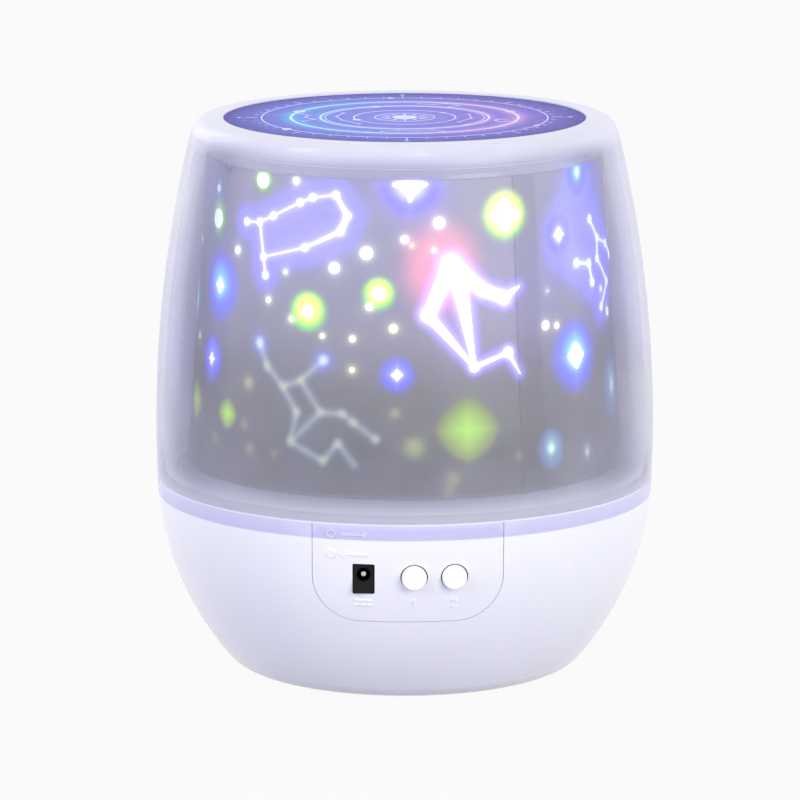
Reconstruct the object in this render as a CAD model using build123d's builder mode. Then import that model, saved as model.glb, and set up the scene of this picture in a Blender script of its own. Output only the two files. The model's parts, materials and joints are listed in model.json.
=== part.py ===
from build123d import *

import os
from math import acos, asin, cos, degrees, pi, radians, sin, sqrt, tan

# Star night light projector, in millimetres.
# +Z is up, -Y is the front with the buttons, and the origin is on the resting plane under the globe's axis.

# ---------------------------------------------------------------- driving dimensions

# Globe outline
globe_radius = 64.0
globe_height = 142.4
widest_height = 61.7
cover_side_radius = 318.0
shoulder_radius = 4.5
parting_height = 50.0
base_side_radius = 75.6
base_widest_height = 52.2
heel_radius = 8.7

# Running and fitting clearances
foot_proud = 0.6
slip_gap = 0.2
seam_gap = 0.12
shaft_gap = 0.05
press_gap = 0.02
glide_gap = 0.05
spigot_gap = 0.3
edge_share = 0.3

# Base shell
base_wall = 2.3
base_floor = 2.4
floor_lip = 1.2
deck_post_radius = 3.4
deck_post_inset = 5.8
deck_post_angle = 45.0
bottom_post_radius = 3.2
bottom_post_height = 8.0
bottom_screw_inset = 6.7
bottom_screw_angle = 15.0
bottom_rib = 1.6

# Screws: one pan-head form in two sizes
screw_head_radius = 2.4
screw_head_height = 1.4
screw_shank_radius = 1.15
small_head_radius = 1.6
small_head_height = 1.0
small_shank_radius = 0.8
screw_slot_share = 0.24
screw_slot_reach = 0.7
screw_bite = 5.0
small_bite = 3.5

# Battery bay for three cells side by side
cell_radius = 5.25
cell_length = 44.5
cell_nub_radius = 1.9
cell_nub_length = 1.1
cell_count = 3
cell_play = 0.4
cell_lift = 0.55
bay_wall = 1.5
bay_roof = 1.4
bay_corner = 3.0
bay_headroom = 0.45
contact_thickness = 0.4
contact_width = 9.0
contact_height = 8.4
contact_dimple = 1.0
contact_dimple_radius = 2.0
spring_length = 3.3
spring_radius = 3.3
spring_taper = 1.0
spring_wire_radius = 0.3
spring_turns = 2.5

# Battery door, hinged on two stub pins in the bottom cover
door_thickness = 2.0
door_pin_radius = 0.6
door_pin_length = 1.4
door_groove_width = 0.8
door_groove_depth = 0.4
door_groove_count = 5
door_groove_pitch = 1.8
door_groove_length = 12.0

# Feet
foot_radius = 3.8
foot_thickness = 1.6
foot_margin = 0.7
foot_angle = 38.0

# Deck and bayonet joint between base and cover
deck_drop = 6.5
deck_thickness = 2.0
deck_wire_hole = 5.0
seat_ring_thickness = 0.5
seat_ring_inset = 0.25
spigot_length = 4.0
spigot_wall = 1.6
lug_count = 3
lug_start = 90.0
lug_span = 12.0
lug_height = 1.2
lug_reach = 1.2
lug_lift = 0.6
twist_to_open = 18.0
lug_gap_angle = 0.6

# Cover
cover_wall = 2.0
cover_shelf = 1.8
cover_top = 2.0
label_margin = 7.5
label_thickness = 0.25
label_recess = 0.5

# Control panel, with heights measured down from the parting line
panel_half_width = 23.75
panel_drop = 26.0
panel_corner = 12.0
panel_flange = 1.2
panel_flange_reach = 2.0
panel_post_radius = 1.9
panel_post_inset = 8.25
panel_post_rise = 5.0

# Buttons
button_a_x = 1.5
button_b_x = 11.5
button_drop = 13.8
button_radius = 3.1
button_hole_gap = 0.3
button_proud = 1.5
button_travel = 0.6
button_flange_radius = 4.1
button_flange = 0.8
button_stem_radius = 1.6
button_edge = 0.4

# Tact switches
switch_size = 6.0
switch_depth = 3.5
plunger_radius = 1.75
plunger_reach = 1.0
plunger_sunk = 0.8
plunger_spare = 0.8

# Power inlet
jack_x = -11.0
jack_window_width = 5.5
jack_window_height = 7.9
jack_drop = 14.35
jack_window_corner = 0.4
jack_window_gap = 0.12
jack_recess = 0.5
jack_body_width = 8.5
jack_body_height = 9.6
jack_bore_radius = 1.75
jack_bore_depth = 7.6
jack_pin_radius = 0.65
jack_pin_rise = 1.05
jack_pin_recess = 0.4
jack_pin_root = 1.2

# Control board
board_thickness = 1.6
board_side_gap = 5.35
board_rise = 2.9
board_top_gap = 0.6
chip_width = 7.0
chip_height = 5.0
chip_depth = 1.6
capacitor_radius = 2.5
capacitor_length = 7.0
resistor_width = 3.2
resistor_height = 1.6
resistor_depth = 0.7
resistor_count = 4
resistor_pitch = 3.0

# Motor, which fills the height between the battery bay and the gearbox
motor_radius = 12.2
motor_lift = 2.15
motor_wall = 0.8
motor_cap_height = 2.2
motor_boss_radius = 3.0
motor_boss_height = 1.3
motor_shaft_radius = 1.0
motor_magnet_wall = 1.9
armature_gap = 0.6
armature_end_gap = 0.85
armature_slot_place = 0.72
armature_slot_length = 0.5
armature_slot_width = 0.22
motor_screw_circle = 8.5
motor_screw_bearings = (-20.0, -160.0)
motor_terminal_width = 1.8
motor_terminal_thickness = 0.5
motor_terminal_reach = 2.4
motor_terminal_spread = 2.0

# Gear train: coarse teeth on the turntable, fine teeth in the gearbox
coarse_module = 1.0
fine_module = 0.5
turntable_teeth = 56
drive_teeth = 14
wheel_teeth = 48
pinion_teeth = 12
pressure_angle = 20.0
addendum_share = 0.8
dedendum_share = 1.0
tooth_play_share = 0.12
drive_bearing = 90.0
idler_bearing = -30.0
motor_bearing = -80.0
coarse_face = 2.9
wheel_face = 2.8
idler_gap = 0.9
wheel_spacing = 1.2
drive_axle_radius = 1.0
idler_axle_radius = 0.75
drive_hub_radius = 5.6
foot_hub_radius = 2.6

# Gearbox case
gearbox_depth = 11.0
gearbox_floor = 1.8
gearbox_wall = 1.6
gear_clearance = 0.9
ear_radius = 3.0
ear_height = 3.0
ear_reach = 2.4
drive_ear_bearing = 180.0
idler_ear_bearing = 0.0
motor_ear_bearing = -50.0

# Lamp post, and the turntable that runs round it
post_flange_radius = 15.5
post_flange = 1.8
post_screw_circle = 7.8
post_screw_bearing = 103.5
journal_radius = 10.0
post_radius = 7.5
post_bore = 5.6
post_rise = 34.0
cup_radius = 9.6
cup_wall = 0.9
cup_depth = 2.2
cup_flare = 4.0
washer_radius = 11.9
washer_thickness = 0.7
hub_radius = 14.0
turntable_rise = 4.0
turntable_thickness = 2.0
turntable_gap = 1.0
turntable_rim = 1.0
turntable_rim_height = 1.6
gear_band = 5.0
ring_groove_depth = 0.6
ring_groove_height = 0.75
ring_thickness = 0.6
ring_reach = 3.0
ring_opening = 40.0

# Film carrier and films
carrier_foot_gap = 0.35
carrier_foot = 1.9
carrier_foot_reach = 0.9
carrier_top_gap = 3.3
carrier_headroom = 4.3
carrier_wall = 1.2
carrier_edge = 1.6
film_thickness = 0.25
film_gap = 0.05
film_low_margin = 3.0
film_high_margin = 0.5
film_seam_bearing = -59.0
film_seam_gap = 0.4
top_film_margin = 2.4

# Lamps
led_board_thickness = 1.2
led_circle = 4.3
led_start_bearing = 45.0
led_step = 90.0
led_radius = 2.5
led_flange_radius = 2.9
led_flange = 0.8
led_body = 5.2

# Wires, as routes chosen by hand inside the base
wire_radius = 0.55
wire_spread = 0.8
wire_bend_share = 0.45
lamp_wire_drop = 3.5
lamp_wire_run = 14.0
lamp_wire_dip = 3.5
lamp_wire_turn = 0.6
lamp_wire_rise = 17.0
battery_wire_x = 5.0
battery_wire_lift = 2.0
battery_wire_run = 8.0
battery_wire_end_rise = 1.8
battery_wire_end_run = 9.0
motor_wire_run = 16.0
motor_wire_dip = 6.0
motor_wire_middle_run = 16.0
motor_wire_end_run = 8.0

# ---------------------------------------------------------------- derived heights and radii

shell_bottom = foot_proud
floor_top = shell_bottom + base_floor
rim_top = parting_height - seat_ring_thickness
deck_top = parting_height - deck_drop
deck_bottom = deck_top - deck_thickness
gearbox_top = deck_bottom
gearbox_inside = gearbox_top - gearbox_depth
gearbox_bottom = gearbox_inside - gearbox_floor
label_floor = globe_height - label_recess
cover_ceiling = label_floor - cover_top
shelf_top = parting_height + cover_shelf


# Globe side arcs, as a radius at a height; inset moves the surface inwards along its normal.
def cover_radius(height, inset=0.0):
    side = cover_side_radius - inset
    return globe_radius - cover_side_radius + sqrt(side**2 - (height - widest_height) ** 2)


rim_radius = cover_radius(parting_height)
base_arc_centre = rim_radius - sqrt(base_side_radius**2 - (parting_height - base_widest_height) ** 2)


def base_radius(height, inset=0.0):
    side = base_side_radius - inset
    return base_arc_centre + sqrt(side**2 - (height - base_widest_height) ** 2)


def cover_side(inset, low, high):
    return [(cover_radius(height, inset), height) for height in (low, (low + high) / 2, high)]


def base_side(inset, low, high):
    return [(base_radius(height, inset), height) for height in (low, (low + high) / 2, high)]


# The heel fillet leaves the flat bottom at its own centre's radius.
heel_centre_height = shell_bottom + heel_radius
heel_centre_radius = base_radius(heel_centre_height, heel_radius)
bottom_opening = heel_centre_radius - floor_lip
bottom_cover_radius = bottom_opening - slip_gap
bottom_screw_circle = bottom_cover_radius - bottom_screw_inset
bottom_screw_bearings = [
    side + lean for side in (0.0, 180.0) for lean in (-bottom_screw_angle, bottom_screw_angle)
]
foot_circle = bottom_cover_radius - foot_margin - foot_radius
foot_x = foot_circle * cos(radians(foot_angle))
foot_y = foot_circle * sin(radians(foot_angle))

# Battery bay
cell_pitch = 2 * cell_radius + cell_play
bay_half_width = cell_count * cell_pitch / 2
bay_length = cell_length + spring_length + contact_dimple + 2 * contact_thickness
bay_half_length = bay_length / 2
cell_axis = floor_top - slip_gap + cell_lift + cell_radius - bay_headroom
bay_ceiling = cell_axis + cell_radius + bay_headroom
bay_top = bay_ceiling + bay_roof
door_bottom = shell_bottom
door_top = door_bottom + door_thickness
door_half_width = bay_half_width - slip_gap
door_hinge_y = -(bay_half_length - slip_gap - door_thickness / 2)
door_hinge_z = (door_bottom + door_top) / 2

# Motor
motor_bottom = bay_top + motor_lift
motor_height = gearbox_bottom - motor_bottom
armature_height = motor_height - motor_cap_height - motor_wall - 2 * armature_end_gap

# Cover's recess and bayonet
label_radius = cover_radius(globe_height) - label_margin
spigot_bottom = parting_height - spigot_length
lip_radius = min(base_radius(spigot_bottom, base_wall), base_radius(rim_top, base_wall))
spigot_radius = lip_radius - spigot_gap
spigot_inner = spigot_radius - spigot_wall
lug_radius = spigot_radius + lug_reach
lug_bottom = spigot_bottom + lug_lift
lug_way_radius = lug_radius + slip_gap
lug_angles = [lug_start + index * 360 / lug_count for index in range(lug_count)]

# Panel, buttons and inlet
panel_bottom = parting_height - panel_drop
panel_flange_top = deck_bottom - slip_gap
panel_post_x = panel_half_width - panel_post_inset
panel_post_height = panel_bottom + panel_post_rise
button_height = parting_height - button_drop
jack_window_middle = parting_height - jack_drop
jack_pin_height = jack_window_middle + jack_pin_rise
board_half_width = panel_half_width - board_side_gap
board_low = panel_bottom + board_rise
plunger_well = plunger_sunk + button_travel + plunger_spare


# How far in front of the axis the bowl's wall is, at a place on the panel.
def front_depth(x, height, inset=0.0):
    return sqrt(base_radius(height, inset) ** 2 - x**2)


# A button's flange stops behind the wall where the curved wall comes nearest to it.
def flange_front(x):
    return front_depth(x + button_flange_radius, button_height - button_flange_radius, base_wall) - slip_gap


# The board stands where the outer button's flange just clears its switch.
board_face = flange_front(button_b_x) - button_flange - plunger_reach - switch_depth


# Gear train
coarse_turntable_radius = turntable_teeth * coarse_module / 2
coarse_drive_radius = drive_teeth * coarse_module / 2
wheel_radius = wheel_teeth * fine_module / 2
pinion_radius = pinion_teeth * fine_module / 2
wheel_tip = wheel_radius + addendum_share * fine_module
drive_tip = coarse_drive_radius + addendum_share * coarse_module


def step_to(start, distance, bearing):
    return (
        start[0] + distance * cos(radians(bearing)),
        start[1] + distance * sin(radians(bearing)),
    )


bottom_screw_places = [step_to((0, 0), bottom_screw_circle, bearing) for bearing in bottom_screw_bearings]
drive_centre = step_to((0, 0), coarse_turntable_radius + coarse_drive_radius, drive_bearing)
idler_centre = step_to(drive_centre, wheel_radius + pinion_radius, idler_bearing)
motor_centre = step_to(idler_centre, wheel_radius + pinion_radius, motor_bearing)

idler_wheel_bottom = gearbox_inside + idler_gap
idler_wheel_top = idler_wheel_bottom + wheel_face
drive_wheel_bottom = idler_wheel_top + wheel_spacing
drive_wheel_top = drive_wheel_bottom + wheel_face
idler_pinion_top = drive_wheel_top + idler_gap
disc_bottom = deck_top + turntable_rise
disc_top = disc_bottom + turntable_thickness
coarse_bottom = disc_bottom - coarse_face
drive_pinion_bottom = coarse_bottom - slip_gap
drive_pinion_top = disc_bottom - slip_gap

# Lamp post stack, and the turntable and carrier that run round it
post_flange_top = deck_top + post_flange
washer_top = post_flange_top + washer_thickness
hub_bottom = washer_top + glide_gap
groove_bottom = disc_top + glide_gap
groove_top = groove_bottom + ring_groove_height
journal_top = groove_top + ring_thickness
groove_radius = journal_radius - ring_groove_depth
post_top = deck_top + post_rise
cup_floor = post_top - cup_depth
led_board_top = cup_floor + led_board_thickness
led_board_radius = cup_radius - cup_wall - slip_gap
turntable_radius = spigot_inner - turntable_gap
carrier_foot_radius = turntable_radius - turntable_rim - carrier_foot_gap
carrier_low_radius = carrier_foot_radius - carrier_foot_reach
carrier_top = cover_ceiling - carrier_headroom
carrier_top_radius = cover_radius(carrier_top, cover_wall) - carrier_top_gap
carrier_low = disc_top
carrier_foot_top = carrier_low + carrier_foot
carrier_slope = (carrier_low_radius - carrier_top_radius) / (carrier_top - carrier_low)
film_low = carrier_foot_top + film_low_margin
film_high = carrier_top - film_high_margin - carrier_edge


def carrier_radius(height):
    return carrier_low_radius - carrier_slope * (height - carrier_low)


# Deck
deck_radius = base_radius(deck_bottom, base_wall) - 2 * slip_gap
deck_post_circle = deck_radius - deck_post_inset
ear_outset = gearbox_wall + ear_reach
drive_case_radius = wheel_tip + gear_clearance
motor_case_radius = motor_radius + gear_clearance
ear_places = [
    step_to(drive_centre, drive_case_radius + ear_outset, drive_ear_bearing),
    step_to(idler_centre, drive_case_radius + ear_outset, idler_ear_bearing),
    step_to(motor_centre, motor_case_radius + ear_outset, motor_ear_bearing),
]

os.makedirs("parts", exist_ok=True)


# ---------------------------------------------------------------- shared forms

# A face between two radii, from one angle through a span.
def ring_sector(inner, outer, start, span):
    with BuildSketch() as sector:
        with BuildLine():
            outer_arc = CenterArc((0, 0), outer, start, span)
            inner_arc = CenterArc((0, 0), inner, start, span)
            Line(outer_arc @ 0, inner_arc @ 0)
            Line(outer_arc @ 1, inner_arc @ 1)
        make_face()
    return sector.sketch


# A pan-head screw: the head stands above z = 0 and the shank hangs below it.
def pan_screw(head_radius, head_height, shank_radius, shank_length):
    with BuildPart() as screw:
        with BuildSketch():
            Circle(head_radius)
        extrude(amount=head_height)
        fillet(screw.faces().sort_by(Axis.Z)[-1].edges(), head_height * edge_share)
        with BuildSketch():
            Circle(shank_radius)
        extrude(amount=-shank_length)
        chamfer(screw.faces().sort_by(Axis.Z)[0].edges(), shank_radius * edge_share)
        with BuildSketch(Plane.XY.offset(head_height)):
            Rectangle(2 * head_radius * screw_slot_reach, 2 * head_radius * screw_slot_share)
            Rectangle(2 * head_radius * screw_slot_share, 2 * head_radius * screw_slot_reach)
        extrude(amount=-head_height / 2, mode=Mode.SUBTRACT)
    return screw.part


def small_screw(shank_length):
    return pan_screw(small_head_radius, small_head_height, small_shank_radius, shank_length)


def involute(angle):
    return tan(angle) - angle


# A spur gear's face with stub teeth; a tooth is centred on the phase angle, in degrees.
def gear_face(teeth, module, phase):
    pitch_radius = teeth * module / 2
    base_circle = pitch_radius * cos(radians(pressure_angle))
    tip = pitch_radius + addendum_share * module
    root = pitch_radius - dedendum_share * module
    half_at_pitch = pi / (2 * teeth) - tooth_play_share * module / (2 * pitch_radius)

    def half_angle(radius):
        pressure = acos(min(1.0, base_circle / radius))
        return half_at_pitch + involute(radians(pressure_angle)) - involute(pressure)

    def place(radius, angle):
        return (radius * cos(angle), radius * sin(angle))

    middle = (max(root, base_circle) + tip) / 2
    step = 2 * pi / teeth
    foot = half_angle(root)
    waist = half_angle(middle)
    point = half_angle(tip)
    with BuildSketch() as face:
        with BuildLine():
            for index in range(teeth):
                centre = radians(phase) + index * step
                near_foot = place(root, centre - foot)
                near_tip = place(tip, centre - point)
                far_tip = place(tip, centre + point)
                far_foot = place(root, centre + foot)
                next_foot = place(root, centre + step - foot)
                ThreePointArc(near_foot, place(middle, centre - waist), near_tip)
                ThreePointArc(near_tip, place(tip, centre), far_tip)
                ThreePointArc(far_tip, place(middle, centre + waist), far_foot)
                ThreePointArc(far_foot, place(root, centre + step / 2), next_foot)
        make_face()
    return face.sketch


# The phase that meshes a gear with one at a known phase, seen along the bearing between their centres.
def meshed_phase(phase, teeth, other_teeth, bearing):
    return bearing + 180 + 180 / other_teeth - (phase - bearing) * teeth / other_teeth


turntable_phase = 0.0
drive_phase = meshed_phase(turntable_phase, turntable_teeth, drive_teeth, drive_bearing)
drive_wheel_phase = 0.0
idler_pinion_phase = meshed_phase(drive_wheel_phase, wheel_teeth, pinion_teeth, idler_bearing)
idler_wheel_phase = 0.0
motor_pinion_phase = meshed_phase(idler_wheel_phase, wheel_teeth, pinion_teeth, motor_bearing)


# The bowl as one wall of revolution, before openings; the panel is cut from the same wall.
def bowl_wall():
    with BuildPart() as bowl:
        with BuildSketch(Plane.XZ) as section:
            with BuildLine():
                outside = ThreePointArc(*base_side(0, shell_bottom, rim_top))
                inside = ThreePointArc(*base_side(base_wall, floor_top, rim_top))
                Line(outside @ 1, inside @ 1)
                Polyline(
                    inside @ 0,
                    (bottom_opening, floor_top),
                    (bottom_opening, shell_bottom),
                    outside @ 0,
                )
            make_face()
            fillet(section.vertices().sort_by_distance(outside @ 0)[0], heel_radius)
            fillet(section.vertices().sort_by_distance(inside @ 0)[0], heel_radius - base_wall)
        revolve(axis=Axis.Z)
    return bowl.part


# The space inside the middle of the bowl's wall, which keeps posts and ribs from showing outside.
def bowl_core():
    with BuildPart() as core:
        with BuildSketch(Plane.XZ):
            with BuildLine():
                side = ThreePointArc(*base_side(base_wall / 2, floor_top, deck_bottom))
                Polyline(side @ 1, (0, deck_bottom), (0, floor_top), side @ 0)
            make_face()
        revolve(axis=Axis.Z)
    return core.part


# A block in front of the axis with the panel's outline, grown by a margin.
def panel_block(grow, top):
    corner_x = panel_half_width + panel_flange_reach
    corner_height = panel_bottom - panel_flange_reach
    near = front_depth(corner_x, corner_height, base_wall + panel_flange) - slip_gap
    with BuildPart() as block:
        with BuildSketch(Plane.XZ.offset(near)) as outline:
            with Locations((0, (panel_bottom - grow + top) / 2)):
                Rectangle(2 * (panel_half_width + grow), top - panel_bottom + grow)
            fillet(outline.vertices().group_by(Axis.Y)[0], panel_corner + grow)
        extrude(amount=globe_radius + base_wall - near)
    return block.part


# ---------------------------------------------------------------- base shell

with BuildPart() as bowl_fittings:
    with BuildSketch(Plane.XY.offset(floor_top)):
        for bearing in bottom_screw_bearings:
            with PolarLocations(bottom_screw_circle, 1, start_angle=bearing):
                Circle(bottom_post_radius)
                Rectangle(globe_radius / 2, bottom_rib, align=(Align.MIN, Align.CENTER))
    extrude(amount=bottom_post_height)
    with BuildSketch(Plane.XY.offset(floor_top)):
        with PolarLocations(deck_post_circle, 4, start_angle=deck_post_angle):
            Circle(deck_post_radius)
    extrude(amount=deck_bottom - floor_top)
    add(bowl_core(), mode=Mode.INTERSECT)

bayonet_ways = []
for angle in lug_angles:
    groove_start = angle - lug_span / 2 - lug_gap_angle
    groove_span = lug_span + twist_to_open + 2 * lug_gap_angle
    entry_start = groove_start + twist_to_open
    entry_span = lug_span + 2 * lug_gap_angle
    with BuildPart() as way:
        with BuildSketch(Plane.XY.offset(lug_bottom - slip_gap)):
            add(ring_sector(spigot_radius, lug_way_radius, groove_start, groove_span))
        extrude(amount=lug_height + 2 * slip_gap)
        with BuildSketch(Plane.XY.offset(lug_bottom - slip_gap)):
            add(ring_sector(spigot_radius, lug_way_radius, entry_start, entry_span))
        extrude(amount=parting_height - lug_bottom)
    bayonet_ways.append(way.part)

with BuildPart() as base_shell:
    add(bowl_wall())
    add(bowl_fittings.part)
    add(panel_block(0, parting_height + base_wall), mode=Mode.SUBTRACT)
    for way in bayonet_ways:
        add(way, mode=Mode.SUBTRACT)
    with BuildSketch(Plane.XY.offset(floor_top)):
        with Locations(*bottom_screw_places):
            Circle(screw_shank_radius + press_gap)
    extrude(amount=screw_bite + slip_gap, mode=Mode.SUBTRACT)
    with BuildSketch(Plane.XY.offset(deck_bottom)):
        with PolarLocations(deck_post_circle, 4, start_angle=deck_post_angle):
            Circle(screw_shank_radius + press_gap)
    extrude(amount=-(screw_bite + slip_gap), mode=Mode.SUBTRACT)
base_shell.part.label = "base_shell"
export_step(base_shell.part, "parts/base_shell.step")


# ---------------------------------------------------------------- bottom cover, door, feet and cells

bottom_seat = floor_top
screw_recess = screw_head_height + slip_gap

with BuildPart() as bottom_cover:
    with BuildSketch(Plane.XY.offset(shell_bottom)):
        Circle(bottom_cover_radius)
    extrude(amount=bottom_seat - shell_bottom)
    with BuildSketch(Plane.XY.offset(shell_bottom)) as bay_outline:
        Rectangle(2 * (bay_half_width + bay_wall), 2 * (bay_half_length + bay_wall))
        fillet(bay_outline.vertices(), bay_corner)
    extrude(amount=bay_top - shell_bottom)
    with BuildSketch(Plane.XY.offset(shell_bottom)):
        Rectangle(2 * bay_half_width, 2 * bay_half_length)
    extrude(amount=bay_ceiling - shell_bottom, mode=Mode.SUBTRACT)
    with Locations((0, door_hinge_y, door_hinge_z)):
        Cylinder(
            door_pin_radius + shaft_gap,
            2 * (bay_half_width + door_pin_length),
            rotation=(0, 90, 0),
            mode=Mode.SUBTRACT,
        )
    with BuildSketch(Plane.XY.offset(shell_bottom)):
        with Locations(*bottom_screw_places):
            Circle(screw_head_radius + slip_gap)
    extrude(amount=screw_recess, mode=Mode.SUBTRACT)
    with BuildSketch(Plane.XY.offset(shell_bottom)):
        with Locations(*bottom_screw_places):
            Circle(screw_shank_radius + slip_gap)
    extrude(amount=bottom_seat - shell_bottom, mode=Mode.SUBTRACT)
    with BuildSketch(Plane.XY.offset(shell_bottom)):
        with GridLocations(2 * foot_x, 2 * foot_y, 2, 2):
            Circle(foot_radius)
    extrude(amount=foot_thickness - foot_proud, mode=Mode.SUBTRACT)
bottom_cover.part.label = "bottom_cover"
export_step(bottom_cover.part, "parts/bottom_cover.step")

with BuildPart() as bottom_screws:
    with Locations((0, 0, shell_bottom + screw_recess)):
        with Locations(*bottom_screw_places):
            add(
                pan_screw(
                    screw_head_radius,
                    screw_head_height,
                    screw_shank_radius,
                    bottom_seat - shell_bottom - screw_recess + screw_bite,
                ),
                rotation=(180, 0, 0),
            )
bottom_screws.part.label = "bottom_screws"
export_step(bottom_screws.part, "parts/bottom_screws.step")

with BuildPart() as rubber_feet:
    with BuildSketch():
        with GridLocations(2 * foot_x, 2 * foot_y, 2, 2):
            Circle(foot_radius)
    extrude(amount=foot_thickness)
    chamfer(rubber_feet.faces().sort_by(Axis.Z)[:4].edges(), foot_proud * edge_share)
rubber_feet.part.label = "rubber_feet"
export_step(rubber_feet.part, "parts/rubber_feet.step")

with BuildPart() as battery_door:
    with BuildSketch(Plane.YZ.offset(-door_half_width)) as profile:
        with BuildLine():
            hinge_edge = JernArc((door_hinge_y, door_top), (-1, 0), door_thickness / 2, 180)
            Polyline(
                hinge_edge @ 1,
                (bay_half_length - slip_gap, door_bottom),
                (bay_half_length - slip_gap, door_top),
                hinge_edge @ 0,
            )
        make_face()
    extrude(amount=2 * door_half_width)
    with Locations((0, door_hinge_y, door_hinge_z)):
        Cylinder(
            door_pin_radius,
            2 * (bay_half_width + door_pin_length - slip_gap / 2),
            rotation=(0, 90, 0),
        )
    with BuildSketch(Plane.XY.offset(door_bottom)):
        with Locations((0, bay_half_length - door_groove_pitch * door_groove_count)):
            with GridLocations(0, door_groove_pitch, 1, door_groove_count):
                Rectangle(door_groove_length, door_groove_width)
    extrude(amount=door_groove_depth, mode=Mode.SUBTRACT)
battery_door.part.label = "battery_door"
export_step(battery_door.part, "parts/battery_door.step")

# Cells lie side by side and point alternately to the back and to the front.
cell_middle = (cell_count - 1) / 2
cell_places = [((index - cell_middle) * cell_pitch, 1 if index % 2 else -1) for index in range(cell_count)]
nub_end = bay_half_length - contact_thickness - contact_dimple

with BuildPart() as battery_cells:
    for x, facing in cell_places:
        with BuildSketch(Plane((x, facing * (nub_end - cell_nub_length), cell_axis), z_dir=(0, -facing, 0))):
            Circle(cell_radius)
        extrude(amount=cell_length - cell_nub_length)
        with BuildSketch(Plane((x, facing * nub_end, cell_axis), z_dir=(0, -facing, 0))):
            Circle(cell_nub_radius)
        extrude(amount=cell_nub_length)
battery_cells.part.label = "battery_cells"
export_step(battery_cells.part, "parts/battery_cells.step")

with BuildPart() as battery_contacts:
    for x, facing in cell_places:
        for side in (-1, 1):
            with BuildSketch(Plane((x, side * bay_half_length, cell_axis), z_dir=(0, -side, 0))):
                Rectangle(contact_width, contact_height)
            extrude(amount=contact_thickness)
        inner_face = facing * (bay_half_length - contact_thickness)
        with BuildSketch(Plane((x, inner_face, cell_axis), z_dir=(0, -facing, 0))):
            Circle(contact_dimple_radius)
        extrude(amount=contact_dimple)
battery_contacts.part.label = "battery_contacts"
export_step(battery_contacts.part, "parts/battery_contacts.step")


# A cone coil of wire along +Z, standing on z = 0.
def cone_spring():
    height = spring_length - 2 * spring_wire_radius
    taper = -degrees(asin(spring_taper / height))
    with BuildPart() as coil:
        with BuildLine():
            turns = Helix(
                height / spring_turns,
                height,
                spring_radius,
                center=(0, 0, spring_wire_radius),
                cone_angle=taper,
            )
        with BuildSketch(Plane(turns @ 0, z_dir=turns % 0)):
            Circle(spring_wire_radius)
        sweep(is_frenet=True)
    return coil.part


with BuildPart() as battery_springs:
    for x, facing in cell_places:
        foot = Plane((x, -facing * (bay_half_length - contact_thickness), cell_axis), z_dir=(0, facing, 0))
        with Locations(foot.location):
            add(cone_spring())
battery_springs.part.label = "battery_springs"
export_step(battery_springs.part, "parts/battery_springs.step")


# ---------------------------------------------------------------- control panel, inlet, buttons and board

jack_front = front_depth(jack_x, jack_window_middle)
jack_body_corner = abs(jack_x) + jack_body_width / 2
jack_body_low = jack_window_middle - jack_body_height / 2
jack_neck_back = front_depth(jack_body_corner, jack_body_low, base_wall) - slip_gap

with BuildPart() as panel_skin:
    add(bowl_wall())
    add(panel_block(-seam_gap, parting_height + base_wall), mode=Mode.INTERSECT)

with BuildPart() as panel_lining:
    with BuildSketch(Plane.XZ):
        with BuildLine():
            near = ThreePointArc(*base_side(base_wall, panel_bottom - panel_flange_reach, panel_flange_top))
            far = ThreePointArc(
                *base_side(base_wall + panel_flange, panel_bottom - panel_flange_reach, panel_flange_top)
            )
            Line(near @ 0, far @ 0)
            Line(near @ 1, far @ 1)
        make_face()
    revolve(axis=Axis.Z)
    add(panel_block(panel_flange_reach, panel_flange_top), mode=Mode.INTERSECT)
    add(panel_block(-panel_flange_reach, parting_height), mode=Mode.SUBTRACT)

with BuildPart() as panel_posts:
    with BuildSketch(Plane.XZ.offset(board_face)):
        with Locations((-panel_post_x, panel_post_height), (panel_post_x, panel_post_height)):
            Circle(panel_post_radius)
    extrude(amount=front_depth(panel_post_x, panel_post_height, base_wall) - board_face)

with BuildPart() as panel_openings:
    with BuildSketch(Plane.XZ.offset(board_face)) as jack_window:
        with Locations((jack_x, jack_window_middle)):
            Rectangle(jack_window_width, jack_window_height)
        fillet(jack_window.vertices(), jack_window_corner)
    extrude(amount=globe_radius - board_face)
    with BuildSketch(Plane.XZ.offset(board_face)):
        with Locations((button_a_x, button_height), (button_b_x, button_height)):
            Circle(button_radius + button_hole_gap)
    extrude(amount=globe_radius - board_face)

with BuildPart() as panel_screw_holes:
    with BuildSketch(Plane.XZ.offset(board_face)):
        with Locations((-panel_post_x, panel_post_height), (panel_post_x, panel_post_height)):
            Circle(small_shank_radius + press_gap)
    extrude(amount=small_bite + slip_gap)

with BuildPart() as control_panel:
    add(panel_skin.part)
    add(panel_lining.part)
    add(panel_posts.part)
    add(panel_openings.part, mode=Mode.SUBTRACT)
    add(panel_screw_holes.part, mode=Mode.SUBTRACT)
control_panel.part.label = "control_panel"
export_step(control_panel.part, "parts/control_panel.step")


# ---------------------------------------------------------------- deck

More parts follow.
